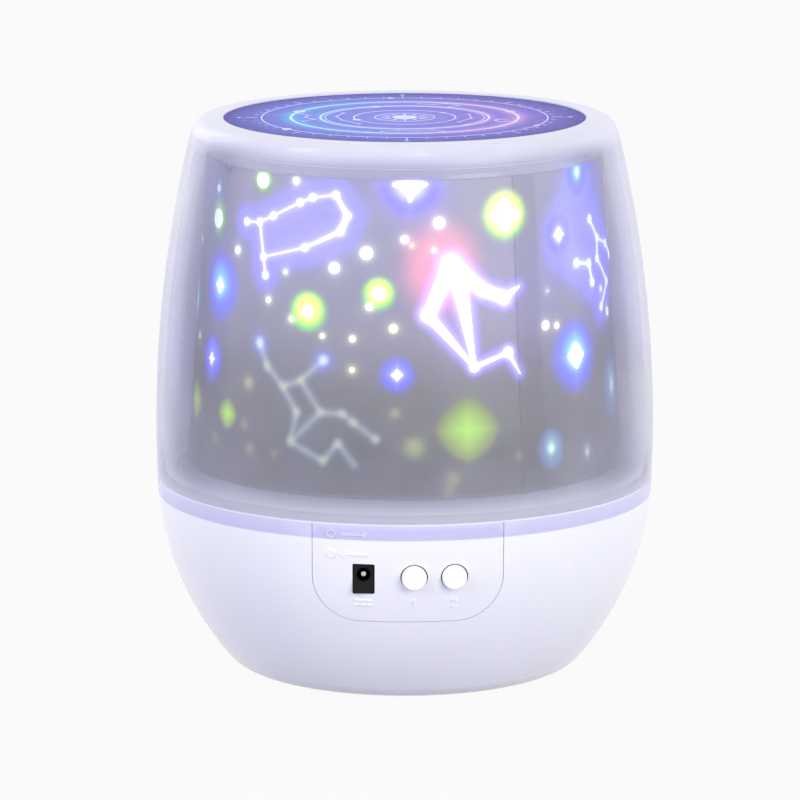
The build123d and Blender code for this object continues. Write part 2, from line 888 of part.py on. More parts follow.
with BuildPart() as deck_plate:
    with BuildSketch(Plane.XY.offset(deck_bottom)):
        Circle(deck_radius)
        Circle(deck_wire_hole, mode=Mode.SUBTRACT)
        with Locations(drive_centre):
            Circle(drive_tip + 2 * slip_gap, mode=Mode.SUBTRACT)
        with PolarLocations(deck_post_circle, 4, start_angle=deck_post_angle):
            Circle(screw_shank_radius + slip_gap, mode=Mode.SUBTRACT)
        with PolarLocations(post_screw_circle, 3, start_angle=post_screw_bearing):
            Circle(small_shank_radius + slip_gap, mode=Mode.SUBTRACT)
        with Locations(*ear_places):
            Circle(small_shank_radius + press_gap, mode=Mode.SUBTRACT)
        with Locations(idler_centre):
            Circle(idler_axle_radius + press_gap, mode=Mode.SUBTRACT)
    extrude(amount=deck_thickness)
deck_plate.part.label = "deck_plate"
export_step(deck_plate.part, "parts/deck_plate.step")


# ---------------------------------------------------------------- control board behind the panel

board_back = board_face - board_thickness
board_top = deck_bottom - board_top_gap
board_middle = (board_low + board_top) / 2

with BuildPart() as control_board:
    with BuildSketch(Plane.XZ.offset(board_back)) as board_outline:
        with Locations((0, board_middle)):
            Rectangle(2 * board_half_width, board_top - board_low)
        fillet(board_outline.vertices(), board_thickness)
        with Locations((-panel_post_x, panel_post_height), (panel_post_x, panel_post_height)):
            Circle(small_shank_radius + slip_gap, mode=Mode.SUBTRACT)
    extrude(amount=board_thickness)
control_board.part.label = "control_board"
export_step(control_board.part, "parts/control_board.step")

with BuildPart() as board_screws:
    for side in (-1, 1):
        screw_plane = Plane((side * panel_post_x, -board_back, panel_post_height), z_dir=(0, 1, 0))
        with Locations(screw_plane.location):
            add(small_screw(board_thickness + small_bite))
board_screws.part.label = "board_screws"
export_step(board_screws.part, "parts/board_screws.step")

with BuildPart() as control_chip:
    with Locations((chip_width / 2, -board_back, board_middle)):
        Box(chip_width, chip_depth, chip_height, align=(Align.CENTER, Align.MIN, Align.CENTER))
    chamfer(control_chip.faces().sort_by(Axis.Y)[-1].edges(), chip_depth * edge_share)
control_chip.part.label = "control_chip"
export_step(control_chip.part, "parts/control_chip.step")

# Passive parts on the board's back: a capacitor lying along the board and a row of small resistors.
resistor_row = board_middle + chip_height / 2 + resistor_height
capacitor_x = -(chip_width + resistor_width / 2 + 2 * capacitor_radius)
with BuildPart() as board_parts:
    with Locations((capacitor_x, capacitor_radius - board_back, board_top - capacitor_length / 2)):
        Cylinder(capacitor_radius, capacitor_length)
    with Locations((chip_width / 2, -board_back, resistor_row)):
        Box(resistor_width, resistor_depth, resistor_height, align=(Align.CENTER, Align.MIN, Align.CENTER))
    for index in range(resistor_count):
        row = board_middle + (index - (resistor_count - 1) / 2) * resistor_pitch
        with Locations((-chip_width, -board_back, row)):
            Box(
                resistor_width,
                resistor_depth,
                resistor_height,
                align=(Align.CENTER, Align.MIN, Align.CENTER),
            )
board_parts.part.label = "board_parts"
export_step(board_parts.part, "parts/board_parts.step")


# ---------------------------------------------------------------- power inlet

with BuildPart() as dc_jack_housing:
    with BuildSketch(Plane.XZ.offset(board_face)):
        with Locations((jack_x, jack_window_middle)):
            Rectangle(jack_body_width, jack_body_height)
    extrude(amount=jack_neck_back - board_face)
    with BuildSketch(Plane.XZ.offset(jack_neck_back)):
        with Locations((jack_x, jack_window_middle)):
            Rectangle(jack_window_width - 2 * jack_window_gap, jack_window_height - 2 * jack_window_gap)
    extrude(amount=jack_front - jack_recess - jack_neck_back)
    with BuildSketch(Plane.XZ.offset(jack_front - jack_recess - jack_bore_depth)):
        with Locations((jack_x, jack_pin_height)):
            Circle(jack_bore_radius)
    extrude(amount=jack_bore_depth, mode=Mode.SUBTRACT)
    with BuildSketch(Plane.XZ.offset(jack_front - jack_recess - jack_bore_depth - jack_pin_root)):
        with Locations((jack_x, jack_pin_height)):
            Circle(jack_pin_radius)
    extrude(amount=jack_pin_root, mode=Mode.SUBTRACT)
dc_jack_housing.part.label = "dc_jack_housing"
export_step(dc_jack_housing.part, "parts/dc_jack_housing.step")

with BuildPart() as dc_jack_pin:
    with BuildSketch(Plane.XZ.offset(jack_front - jack_recess - jack_bore_depth - jack_pin_root)):
        with Locations((jack_x, jack_pin_height)):
            Circle(jack_pin_radius)
    extrude(amount=jack_bore_depth + jack_pin_root - jack_pin_recess)
    fillet(dc_jack_pin.faces().sort_by(Axis.Y)[0].edges(), jack_pin_radius * edge_share)
dc_jack_pin.part.label = "dc_jack_pin"
export_step(dc_jack_pin.part, "parts/dc_jack_pin.step")


# ---------------------------------------------------------------- buttons and their switches

switch_front = board_face + switch_depth
plunger_tip = switch_front + plunger_reach

with BuildPart() as switch_housings:
    with BuildSketch(Plane.XZ.offset(board_face)):
        with Locations((button_a_x, button_height), (button_b_x, button_height)):
            Rectangle(switch_size, switch_size)
    extrude(amount=switch_depth)
    with BuildSketch(Plane.XZ.offset(switch_front)):
        with Locations((button_a_x, button_height), (button_b_x, button_height)):
            Circle(plunger_radius + shaft_gap)
    extrude(amount=-plunger_well, mode=Mode.SUBTRACT)
switch_housings.part.label = "switch_housings"
export_step(switch_housings.part, "parts/switch_housings.step")


# A plunger stands in its switch and reaches out to the cap's stem.
def switch_plunger(x):
    with BuildPart() as plunger:
        with BuildSketch(Plane.XZ.offset(switch_front - plunger_sunk)):
            with Locations((x, button_height)):
                Circle(plunger_radius)
        extrude(amount=plunger_reach + plunger_sunk)
    return plunger.part


# A cap: the visible head, a flange that stops behind the panel, and a stem down to the plunger.
def button_cap(x):
    head = front_depth(x, button_height) + button_proud
    flange_back = flange_front(x) - button_flange
    with BuildPart() as cap:
        with BuildSketch(Plane.XZ.offset(flange_back)):
            with Locations((x, button_height)):
                Circle(button_flange_radius)
        extrude(amount=button_flange)
        with BuildSketch(Plane.XZ.offset(plunger_tip)):
            with Locations((x, button_height)):
                Circle(button_stem_radius)
        extrude(amount=flange_front(x) - plunger_tip)
        with BuildSketch(Plane.XZ.offset(flange_back)):
            with Locations((x, button_height)):
                Circle(button_radius)
        extrude(amount=head - flange_back)
        fillet(cap.faces().sort_by(Axis.Y)[0].edges(), button_edge)
    return cap.part


with BuildPart() as switch_plunger_a:
    add(switch_plunger(button_a_x))
switch_plunger_a.part.label = "switch_plunger_a"
export_step(switch_plunger_a.part, "parts/switch_plunger_a.step")

with BuildPart() as switch_plunger_b:
    add(switch_plunger(button_b_x))
switch_plunger_b.part.label = "switch_plunger_b"
export_step(switch_plunger_b.part, "parts/switch_plunger_b.step")

with BuildPart() as button_cap_a:
    add(button_cap(button_a_x))
button_cap_a.part.label = "button_cap_a"
export_step(button_cap_a.part, "parts/button_cap_a.step")

with BuildPart() as button_cap_b:
    add(button_cap(button_b_x))
button_cap_b.part.label = "button_cap_b"
export_step(button_cap_b.part, "parts/button_cap_b.step")


# ---------------------------------------------------------------- motor

motor_screw_places = [step_to(motor_centre, motor_screw_circle, bearing) for bearing in motor_screw_bearings]
motor_cap_top = motor_bottom + motor_cap_height
magnet_radius = motor_radius - motor_wall
armature_radius = magnet_radius - motor_magnet_wall - armature_gap
armature_low = motor_cap_top + armature_end_gap

with BuildPart() as motor_can:
    with BuildSketch(Plane.XY.offset(motor_bottom)):
        with Locations(motor_centre):
            Circle(motor_radius)
    extrude(amount=motor_height)
    with BuildSketch(Plane.XY.offset(gearbox_bottom)):
        with Locations(motor_centre):
            Circle(motor_boss_radius)
    extrude(amount=motor_boss_height)
    with BuildSketch(Plane.XY.offset(motor_bottom)):
        with Locations(motor_centre):
            Circle(magnet_radius)
    extrude(amount=motor_height - motor_wall, mode=Mode.SUBTRACT)
    with BuildSketch(Plane.XY.offset(motor_bottom)):
        with Locations(motor_centre):
            Circle(motor_shaft_radius + shaft_gap)
        with Locations(*motor_screw_places):
            Circle(small_shank_radius + press_gap)
    extrude(amount=motor_height + motor_boss_height, mode=Mode.SUBTRACT)
motor_can.part.label = "motor_can"
export_step(motor_can.part, "parts/motor_can.step")

with BuildPart() as motor_end_cap:
    with BuildSketch(Plane.XY.offset(motor_bottom)):
        with Locations(motor_centre):
            Circle(magnet_radius - press_gap)
    extrude(amount=motor_cap_height)
    with BuildSketch(Plane.XY.offset(motor_bottom + motor_cap_height / 2)):
        with Locations(motor_centre):
            Circle(motor_shaft_radius + shaft_gap)
    extrude(amount=motor_cap_height / 2, mode=Mode.SUBTRACT)
    with BuildSketch(Plane.XY.offset(motor_bottom)):
        for side in (-1, 1):
            with Locations((motor_centre[0] + side * motor_terminal_spread, motor_centre[1] - motor_radius)):
                Rectangle(motor_terminal_width, 2 * motor_terminal_reach)
    extrude(amount=-motor_terminal_thickness)
motor_end_cap.part.label = "motor_end_cap"
export_step(motor_end_cap.part, "parts/motor_end_cap.step")

with BuildPart() as motor_magnet:
    with BuildSketch(Plane.XY.offset(armature_low)):
        with Locations(motor_centre):
            Circle(magnet_radius - press_gap)
            Circle(magnet_radius - motor_magnet_wall, mode=Mode.SUBTRACT)
    extrude(amount=armature_height)
motor_magnet.part.label = "motor_magnet"
export_step(motor_magnet.part, "parts/motor_magnet.step")

# A three-pole armature: a round core with three slots.
with BuildPart() as motor_armature:
    with BuildSketch(Plane.XY.offset(armature_low)):
        with Locations(motor_centre):
            Circle(armature_radius)
            Circle(motor_shaft_radius + press_gap, mode=Mode.SUBTRACT)
            with PolarLocations(armature_radius * armature_slot_place, 3):
                SlotOverall(
                    armature_radius * armature_slot_length,
                    armature_radius * armature_slot_width,
                    mode=Mode.SUBTRACT,
                )
    extrude(amount=armature_height)
motor_armature.part.label = "motor_armature"
export_step(motor_armature.part, "parts/motor_armature.step")

motor_shaft_low = motor_bottom + motor_cap_height / 2 + slip_gap
motor_pinion_low = gearbox_inside + idler_gap - slip_gap
motor_pinion_top = idler_wheel_top + slip_gap
with BuildPart() as motor_shaft:
    with BuildSketch(Plane.XY.offset(motor_shaft_low)):
        with Locations(motor_centre):
            Circle(motor_shaft_radius)
    extrude(amount=motor_pinion_top + slip_gap - motor_shaft_low)
    chamfer(motor_shaft.faces().sort_by(Axis.Z)[-1].edges(), motor_shaft_radius * edge_share)
motor_shaft.part.label = "motor_shaft"
export_step(motor_shaft.part, "parts/motor_shaft.step")

with BuildPart() as motor_pinion:
    with BuildSketch(Plane.XY.offset(motor_pinion_low)):
        with Locations(motor_centre):
            add(gear_face(pinion_teeth, fine_module, motor_pinion_phase))
            Circle(motor_shaft_radius + press_gap, mode=Mode.SUBTRACT)
    extrude(amount=motor_pinion_top - motor_pinion_low)
motor_pinion.part.label = "motor_pinion"
export_step(motor_pinion.part, "parts/motor_pinion.step")

with BuildPart() as motor_screws:
    with Locations((0, 0, gearbox_inside)):
        with Locations(*motor_screw_places):
            add(
                pan_screw(
                    small_head_radius,
                    small_head_height,
                    small_shank_radius,
                    gearbox_floor + motor_wall + 2 * slip_gap,
                )
            )
motor_screws.part.label = "motor_screws"
export_step(motor_screws.part, "parts/motor_screws.step")


# ---------------------------------------------------------------- gearbox

with BuildPart() as gearbox_case:
    with BuildSketch(Plane.XY.offset(gearbox_bottom)):
        with Locations(drive_centre, idler_centre):
            Circle(drive_case_radius + gearbox_wall)
        with Locations(motor_centre):
            Circle(motor_case_radius + gearbox_wall)
        make_hull()
    extrude(amount=gearbox_top - gearbox_bottom)
    with BuildSketch(Plane.XY.offset(gearbox_top - ear_height)):
        with Locations(*ear_places):
            Circle(ear_radius)
    extrude(amount=ear_height)
    with BuildSketch(Plane.XY.offset(gearbox_inside)):
        with Locations(drive_centre, idler_centre):
            Circle(drive_case_radius)
        with Locations(motor_centre):
            Circle(motor_case_radius)
        make_hull()
    extrude(amount=gearbox_depth, mode=Mode.SUBTRACT)
    with BuildSketch(Plane.XY.offset(gearbox_bottom)):
        with Locations(*ear_places):
            Circle(small_shank_radius + slip_gap)
        with Locations(motor_centre):
            Circle(motor_boss_radius + press_gap)
        with Locations(*motor_screw_places):
            Circle(small_shank_radius + press_gap)
        with Locations(drive_centre):
            Circle(drive_axle_radius + press_gap)
        with Locations(idler_centre):
            Circle(idler_axle_radius + press_gap)
    extrude(amount=gearbox_top - gearbox_bottom, mode=Mode.SUBTRACT)
gearbox_case.part.label = "gearbox_case"
export_step(gearbox_case.part, "parts/gearbox_case.step")

with BuildPart() as gearbox_screws:
    with Locations((0, 0, gearbox_top - ear_height)):
        with Locations(*ear_places):
            add(small_screw(ear_height + deck_thickness), rotation=(180, 0, 0))
gearbox_screws.part.label = "gearbox_screws"
export_step(gearbox_screws.part, "parts/gearbox_screws.step")

with BuildPart() as gear_axles:
    with BuildSketch(Plane.XY.offset(gearbox_bottom)):
        with Locations(drive_centre):
            Circle(drive_axle_radius)
    extrude(amount=drive_pinion_top - gearbox_bottom - slip_gap)
    with BuildSketch(Plane.XY.offset(gearbox_bottom)):
        with Locations(idler_centre):
            Circle(idler_axle_radius)
    extrude(amount=deck_top - gearbox_bottom)
gear_axles.part.label = "gear_axles"
export_step(gear_axles.part, "parts/gear_axles.step")

with BuildPart() as drive_gear:
    with BuildSketch(Plane.XY.offset(gearbox_inside + glide_gap)):
        with Locations(drive_centre):
            Circle(foot_hub_radius)
    extrude(amount=drive_wheel_bottom - gearbox_inside - glide_gap)
    with BuildSketch(Plane.XY.offset(drive_wheel_bottom)):
        with Locations(drive_centre):
            add(gear_face(wheel_teeth, fine_module, drive_wheel_phase))
    extrude(amount=wheel_face)
    with BuildSketch(Plane.XY.offset(drive_wheel_top)):
        with Locations(drive_centre):
            Circle(drive_hub_radius)
    extrude(amount=drive_pinion_bottom - drive_wheel_top)
    with BuildSketch(Plane.XY.offset(drive_pinion_bottom)):
        with Locations(drive_centre):
            add(gear_face(drive_teeth, coarse_module, drive_phase))
    extrude(amount=drive_pinion_top - drive_pinion_bottom)
    with BuildSketch(Plane.XY.offset(gearbox_inside)):
        with Locations(drive_centre):
            Circle(drive_axle_radius + shaft_gap)
    extrude(amount=drive_pinion_top - gearbox_inside, mode=Mode.SUBTRACT)
drive_gear.part.label = "drive_gear"
export_step(drive_gear.part, "parts/drive_gear.step")

with BuildPart() as idler_gear:
    with BuildSketch(Plane.XY.offset(gearbox_inside + glide_gap)):
        with Locations(idler_centre):
            Circle(foot_hub_radius)
    extrude(amount=idler_wheel_bottom - gearbox_inside - glide_gap)
    with BuildSketch(Plane.XY.offset(idler_wheel_bottom)):
        with Locations(idler_centre):
            add(gear_face(wheel_teeth, fine_module, idler_wheel_phase))
    extrude(amount=wheel_face)
    with BuildSketch(Plane.XY.offset(idler_wheel_top)):
        with Locations(idler_centre):
            add(gear_face(pinion_teeth, fine_module, idler_pinion_phase))
    extrude(amount=idler_pinion_top - idler_wheel_top)
    with BuildSketch(Plane.XY.offset(gearbox_inside)):
        with Locations(idler_centre):
            Circle(idler_axle_radius + shaft_gap)
    extrude(amount=idler_pinion_top - gearbox_inside, mode=Mode.SUBTRACT)
idler_gear.part.label = "idler_gear"
export_step(idler_gear.part, "parts/idler_gear.step")


# ---------------------------------------------------------------- deck screws, lamp post and lamps

with BuildPart() as deck_screws:
    with Locations((0, 0, deck_top)):
        with PolarLocations(deck_post_circle, 4, start_angle=deck_post_angle):
            add(
                pan_screw(
                    screw_head_radius,
                    screw_head_height,
                    screw_shank_radius,
                    deck_thickness + screw_bite,
                )
            )
deck_screws.part.label = "deck_screws"
export_step(deck_screws.part, "parts/deck_screws.step")

with BuildPart() as lamp_post:
    with BuildSketch(Plane.XZ):
        with BuildLine():
            Polyline(
                (post_bore, deck_top),
                (post_flange_radius, deck_top),
                (post_flange_radius, post_flange_top),
                (journal_radius, post_flange_top),
                (journal_radius, groove_bottom),
                (groove_radius, groove_bottom),
                (groove_radius, groove_top),
                (journal_radius, groove_top),
                (journal_radius, journal_top),
                (post_radius, journal_top + journal_radius - post_radius),
                (post_radius, cup_floor - cup_flare),
                (cup_radius, cup_floor - cup_wall),
                (cup_radius, post_top),
                (cup_radius - cup_wall, post_top),
                (cup_radius - cup_wall, cup_floor),
                (post_bore, cup_floor),
                close=True,
            )
        make_face()
    revolve(axis=Axis.Z)
    with BuildSketch(Plane.XY.offset(deck_top)):
        with PolarLocations(post_screw_circle, 3, start_angle=post_screw_bearing):
            Circle(small_shank_radius + press_gap)
    extrude(amount=small_bite + slip_gap, mode=Mode.SUBTRACT)
lamp_post.part.label = "lamp_post"
export_step(lamp_post.part, "parts/lamp_post.step")

# The heads lie under the deck, and the shanks bite into the journal's wall.
with BuildPart() as post_screws:
    with Locations((0, 0, deck_bottom)):
        with PolarLocations(post_screw_circle, 3, start_angle=post_screw_bearing):
            add(small_screw(deck_thickness + small_bite), rotation=(180, 0, 0))
post_screws.part.label = "post_screws"
export_step(post_screws.part, "parts/post_screws.step")

with BuildPart() as led_board:
    with BuildSketch(Plane.XY.offset(cup_floor)):
        Circle(led_board_radius)
        Circle(wire_radius + wire_spread + slip_gap, mode=Mode.SUBTRACT)
    extrude(amount=led_board_thickness)
led_board.part.label = "led_board"
export_step(led_board.part, "parts/led_board.step")


# A round-nosed lamp on its flange, one of four that stand round the lamp board.
def lamp(index):
    bearing = led_start_bearing + index * led_step
    shoulder = led_board_top + led_flange + led_body
    with BuildPart() as body:
        with BuildSketch(Plane.XZ):
            with BuildLine():
                dome = CenterArc((0, shoulder), led_radius, 0, 90)
                Polyline(
                    dome @ 1,
                    (0, led_board_top),
                    (led_flange_radius, led_board_top),
                    (led_flange_radius, led_board_top + led_flange),
                    (led_radius, led_board_top + led_flange),
                    dome @ 0,
                )
            make_face()
        revolve(axis=Axis.Z)
    return Pos(*step_to((0, 0), led_circle, bearing)) * body.part


with BuildPart() as led_white:
    add(lamp(0))
led_white.part.label = "led_white"
export_step(led_white.part, "parts/led_white.step")

with BuildPart() as led_blue:
    add(lamp(1))
led_blue.part.label = "led_blue"
export_step(led_blue.part, "parts/led_blue.step")

with BuildPart() as led_green:
    add(lamp(2))
led_green.part.label = "led_green"
export_step(led_green.part, "parts/led_green.step")

with BuildPart() as led_red:
    add(lamp(3))
led_red.part.label = "led_red"
export_step(led_red.part, "parts/led_red.step")


# ---------------------------------------------------------------- turntable, carrier and films

with BuildPart() as thrust_washer:
    with BuildSketch(Plane.XY.offset(post_flange_top)):
        Circle(washer_radius)
        Circle(journal_radius + shaft_gap, mode=Mode.SUBTRACT)
    extrude(amount=washer_thickness)
thrust_washer.part.label = "thrust_washer"
export_step(thrust_washer.part, "parts/thrust_washer.step")

with BuildPart() as turntable:
    with BuildSketch(Plane.XY.offset(disc_bottom)):
        Circle(turntable_radius)
    extrude(amount=turntable_thickness)
    with BuildSketch(Plane.XY.offset(disc_top)):
        Circle(turntable_radius)
        Circle(turntable_radius - turntable_rim, mode=Mode.SUBTRACT)
    extrude(amount=turntable_rim_height)
    with BuildSketch(Plane.XY.offset(hub_bottom)):
        Circle(hub_radius)
    extrude(amount=disc_bottom - hub_bottom)
    with BuildSketch(Plane.XY.offset(hub_bottom)):
        Circle(journal_radius + shaft_gap)
    extrude(amount=disc_top - hub_bottom, mode=Mode.SUBTRACT)
turntable.part.label = "turntable"
export_step(turntable.part, "parts/turntable.step")

# The ring gear is bonded under the turntable.
with BuildPart() as ring_gear:
    with BuildSketch(Plane.XY.offset(coarse_bottom)):
        add(gear_face(turntable_teeth, coarse_module, turntable_phase))
        Circle(coarse_turntable_radius - gear_band, mode=Mode.SUBTRACT)
    extrude(amount=coarse_face)
ring_gear.part.label = "ring_gear"
export_step(ring_gear.part, "parts/ring_gear.step")

with BuildPart() as retaining_ring:
    with BuildSketch(Plane.XY.offset(groove_bottom + glide_gap)):
        add(
            ring_sector(
                groove_radius + press_gap,
                journal_radius + ring_reach,
                ring_opening / 2,
                360 - ring_opening,
            )
        )
    extrude(amount=ring_thickness)
retaining_ring.part.label = "retaining_ring"
export_step(retaining_ring.part, "parts/retaining_ring.step")

with BuildPart() as film_carrier:
    with BuildSketch(Plane.XZ) as carrier_section:
        with BuildLine():
            Polyline(
                (carrier_low_radius - carrier_wall, carrier_low),
                (carrier_foot_radius, carrier_low),
                (carrier_foot_radius, carrier_foot_top),
                (carrier_radius(carrier_foot_top), carrier_foot_top),
                (carrier_top_radius, carrier_top),
                (0, carrier_top),
                (0, carrier_top - carrier_wall),
                (carrier_radius(carrier_top) - carrier_wall, carrier_top - carrier_wall),
                close=True,
            )
        make_face()
        fillet(
            carrier_section.vertices().sort_by_distance((carrier_top_radius, carrier_top))[0],
            carrier_edge,
        )
    revolve(axis=Axis.Z)
film_carrier.part.label = "film_carrier"
export_step(film_carrier.part, "parts/film_carrier.step")

# The side film is one cone-shaped sheet, wrapped round the carrier, with a butt seam.
with BuildPart() as side_film:
    with BuildSketch(Plane.XZ.rotated((0, 0, film_seam_bearing))):
        with BuildLine():
            Polyline(
                (carrier_radius(film_low) + film_gap, film_low),
                (carrier_radius(film_low) + film_gap + film_thickness, film_low),
                (carrier_radius(film_high) + film_gap + film_thickness, film_high),
                (carrier_radius(film_high) + film_gap, film_high),
                close=True,
            )
        make_face()
    revolve(axis=Axis.Z, revolution_arc=360 - film_seam_gap)
side_film.part.label = "side_film"
export_step(side_film.part, "parts/side_film.step")

with BuildPart() as top_film:
    with BuildSketch(Plane.XY.offset(carrier_top)):
        Circle(carrier_top_radius - top_film_margin)
    extrude(amount=film_thickness)
top_film.part.label = "top_film"
export_step(top_film.part, "parts/top_film.step")


# ---------------------------------------------------------------- seat ring, cover and label

seat_inner = lip_radius
seat_outer = rim_radius - seat_ring_inset
with BuildPart() as seat_ring:
    with BuildSketch(Plane.XY.offset(rim_top)):
        Circle(seat_outer)
        Circle(seat_inner, mode=Mode.SUBTRACT)
        for angle in lug_angles:
            add(
                ring_sector(
                    spigot_radius,
                    lug_way_radius,
                    angle - lug_span / 2 - lug_gap_angle,
                    lug_span + 2 * lug_gap_angle,
                ),
                mode=Mode.SUBTRACT,
            )
    extrude(amount=seat_ring_thickness)
seat_ring.part.label = "seat_ring"
export_step(seat_ring.part, "parts/seat_ring.step")

with BuildPart() as cover:
    with BuildSketch(Plane.XZ) as cover_section:
        with BuildLine():
            outside = ThreePointArc(*cover_side(0, parting_height, globe_height))
            inside = ThreePointArc(*cover_side(cover_wall, shelf_top, cover_ceiling))
            Polyline(
                outside @ 1,
                (label_radius + slip_gap, globe_height),
                (label_radius + slip_gap, label_floor),
                (0, label_floor),
                (0, cover_ceiling),
                inside @ 1,
            )
            Polyline(
                inside @ 0,
                (spigot_inner, shelf_top),
                (spigot_inner, spigot_bottom),
                (spigot_radius, spigot_bottom),
                (spigot_radius, parting_height),
                outside @ 0,
            )
        make_face()
        fillet(cover_section.vertices().sort_by_distance(outside @ 1)[0], shoulder_radius)
        fillet(cover_section.vertices().sort_by_distance(inside @ 1)[0], shoulder_radius - cover_wall)
    revolve(axis=Axis.Z)
    with BuildSketch(Plane.XY.offset(lug_bottom)):
        for angle in lug_angles:
            add(ring_sector(spigot_inner, lug_radius, angle - lug_span / 2, lug_span))
    extrude(amount=lug_height)
cover.part.label = "cover"
export_step(cover.part, "parts/cover.step")

with BuildPart() as top_label:
    with BuildSketch(Plane.XY.offset(label_floor)):
        Circle(label_radius)
    extrude(amount=label_thickness)
top_label.part.label = "top_label"
export_step(top_label.part, "parts/top_label.step")


# ---------------------------------------------------------------- wires

# The largest tidy bend at each corner of a route.
def bend_radii(route):
    radii = []
    for before, corner, after in zip(route, route[1:], route[2:]):
        arriving = Vector(*corner) - Vector(*before)
        leaving = Vector(*after) - Vector(*corner)
        turn = radians(arriving.get_angle(leaving))
        radii.append(wire_bend_share * min(arriving.length, leaving.length) / tan(turn / 2))
    return radii


# A pair of wires along one route, set apart across the front.
def wire_pair(route, spread):
    wires = []
    for side in (-spread, spread):
        points = [(x + side, y, z) for x, y, z in route]
        radii = bend_radii(points)
        print("bends", [round(radius, 1) for radius in radii])
        with BuildPart() as wire:
            with BuildLine():
                run = FilletPolyline(*points, radius=radii)
            with BuildSketch(Plane(run @ 0, z_dir=run % 0)):
                Circle(wire_radius)
            sweep()
        wires.append(wire.part)
    return wires


lamp_wire_x = -wire_radius
lamp_wire_start = board_top - lamp_wire_drop
lamp_route = [
    (lamp_wire_x, -board_back, lamp_wire_start),
    (lamp_wire_x, -board_back + lamp_wire_run, lamp_wire_start),
    (lamp_wire_x, lamp_wire_turn, lamp_wire_start - lamp_wire_dip),
    (lamp_wire_x, 0.0, cup_floor - lamp_wire_rise),
    (lamp_wire_x, 0.0, cup_floor),
]
with BuildPart() as lamp_wires:
    for wire in wire_pair(lamp_route, wire_spread):
        add(wire)
lamp_wires.part.label = "lamp_wires"
export_step(lamp_wires.part, "parts/lamp_wires.step")

bay_front = -bay_half_length - bay_wall
battery_wire_start = cell_axis + battery_wire_lift
battery_wire_end = board_low + battery_wire_end_rise
battery_route = [
    (battery_wire_x, bay_front, battery_wire_start),
    (battery_wire_x, bay_front - battery_wire_run, battery_wire_start),
    (battery_wire_x, -board_back + battery_wire_end_run, battery_wire_end),
    (battery_wire_x, -board_back, battery_wire_end),
]
with BuildPart() as battery_wires:
    for wire in wire_pair(battery_route, wire_spread):
        add(wire)
battery_wires.part.label = "battery_wires"
export_step(battery_wires.part, "parts/battery_wires.step")

motor_wire_start = motor_bottom - motor_terminal_thickness / 2
motor_wire_y = motor_centre[1] - motor_radius - motor_terminal_reach
motor_route = [
    (motor_centre[0], motor_wire_y, motor_wire_start),
    (motor_centre[0], motor_wire_y - motor_wire_run, motor_wire_start),
    (motor_centre[0], -board_back + motor_wire_middle_run, board_middle - motor_wire_dip),
    (motor_centre[0], -board_back + motor_wire_end_run, board_middle),
    (motor_centre[0], -board_back, board_middle),
]
with BuildPart() as motor_wires:
    for wire in wire_pair(motor_route, motor_terminal_spread):
        add(wire)
motor_wires.part.label = "motor_wires"
export_step(motor_wires.part, "parts/motor_wires.step")
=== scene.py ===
import json
import math

import bpy
import numpy as np
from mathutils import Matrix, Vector
from mathutils.bvhtree import BVHTree


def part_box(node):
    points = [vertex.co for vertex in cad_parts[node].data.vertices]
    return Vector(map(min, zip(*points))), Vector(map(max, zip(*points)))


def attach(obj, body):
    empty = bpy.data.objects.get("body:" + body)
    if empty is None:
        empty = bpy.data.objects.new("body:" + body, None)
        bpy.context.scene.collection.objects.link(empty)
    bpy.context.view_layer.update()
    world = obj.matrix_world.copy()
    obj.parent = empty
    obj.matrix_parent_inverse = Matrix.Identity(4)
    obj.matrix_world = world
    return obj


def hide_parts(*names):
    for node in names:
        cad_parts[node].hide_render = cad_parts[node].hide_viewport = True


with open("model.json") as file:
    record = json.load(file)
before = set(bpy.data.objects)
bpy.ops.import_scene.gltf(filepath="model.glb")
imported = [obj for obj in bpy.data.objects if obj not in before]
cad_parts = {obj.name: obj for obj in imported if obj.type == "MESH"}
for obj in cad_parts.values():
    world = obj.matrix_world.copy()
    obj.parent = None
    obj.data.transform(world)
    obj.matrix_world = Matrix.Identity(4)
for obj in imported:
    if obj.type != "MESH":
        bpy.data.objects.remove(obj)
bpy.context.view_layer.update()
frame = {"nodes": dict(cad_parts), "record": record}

nodes = frame["nodes"]
record = frame["record"]
scene = bpy.context.scene
mm = 0.001
white = (1, 1, 1, 1)
print("frame loaded:", len(nodes), "nodes")


# colours, nodes and materials

def toLinear(hexColour):
    # sRGB hex to the linear colour that the shaders take
    channels = [int(hexColour[start:start + 2], 16) / 255 for start in (1, 3, 5)]
    linear = [c / 12.92 if c <= 0.04045 else ((c + 0.055) / 1.055) ** 2.4 for c in channels]
    return (*linear, 1.0)


def addNode(tree, kind, sockets=(), give=0, **settings):
    # one node with its settings; each socket, by name or in order, gets a value or a link from an output,
    # and the output that give names is passed on
    node = tree.nodes.new("ShaderNode" + kind)
    for name, value in settings.items():
        setattr(node, name, value)
    for key, value in sockets.items() if isinstance(sockets, dict) else enumerate(sockets):
        if isinstance(value, bpy.types.NodeSocket):
            tree.links.new(value, node.inputs[key])
        else:
            node.inputs[key].default_value = value
    return node.outputs[give] if node.outputs else node


def newMaterial(name):
    material = bpy.data.materials.new(name)
    material.use_nodes = True
    tree = material.node_tree
    tree.nodes.clear()
    return material, tree, addNode(tree, "TexCoord", give="Object")


def setStops(ramp, stops):
    # colour stops of a ramp as (position, hex)
    elements = ramp.node.color_ramp.elements
    while len(elements) < len(stops):
        elements.new(0.5)
    for element, (position, colour) in zip(elements, stops):
        element.position = position
        element.color = toLinear(colour)


def scaleFor(sizeMm):
    # texture scale whose blobs or cells are about sizeMm across
    return 1 / (sizeMm * mm)


noiseSpan = (0.3, 0.7)  # most of a noise texture's values lie between these


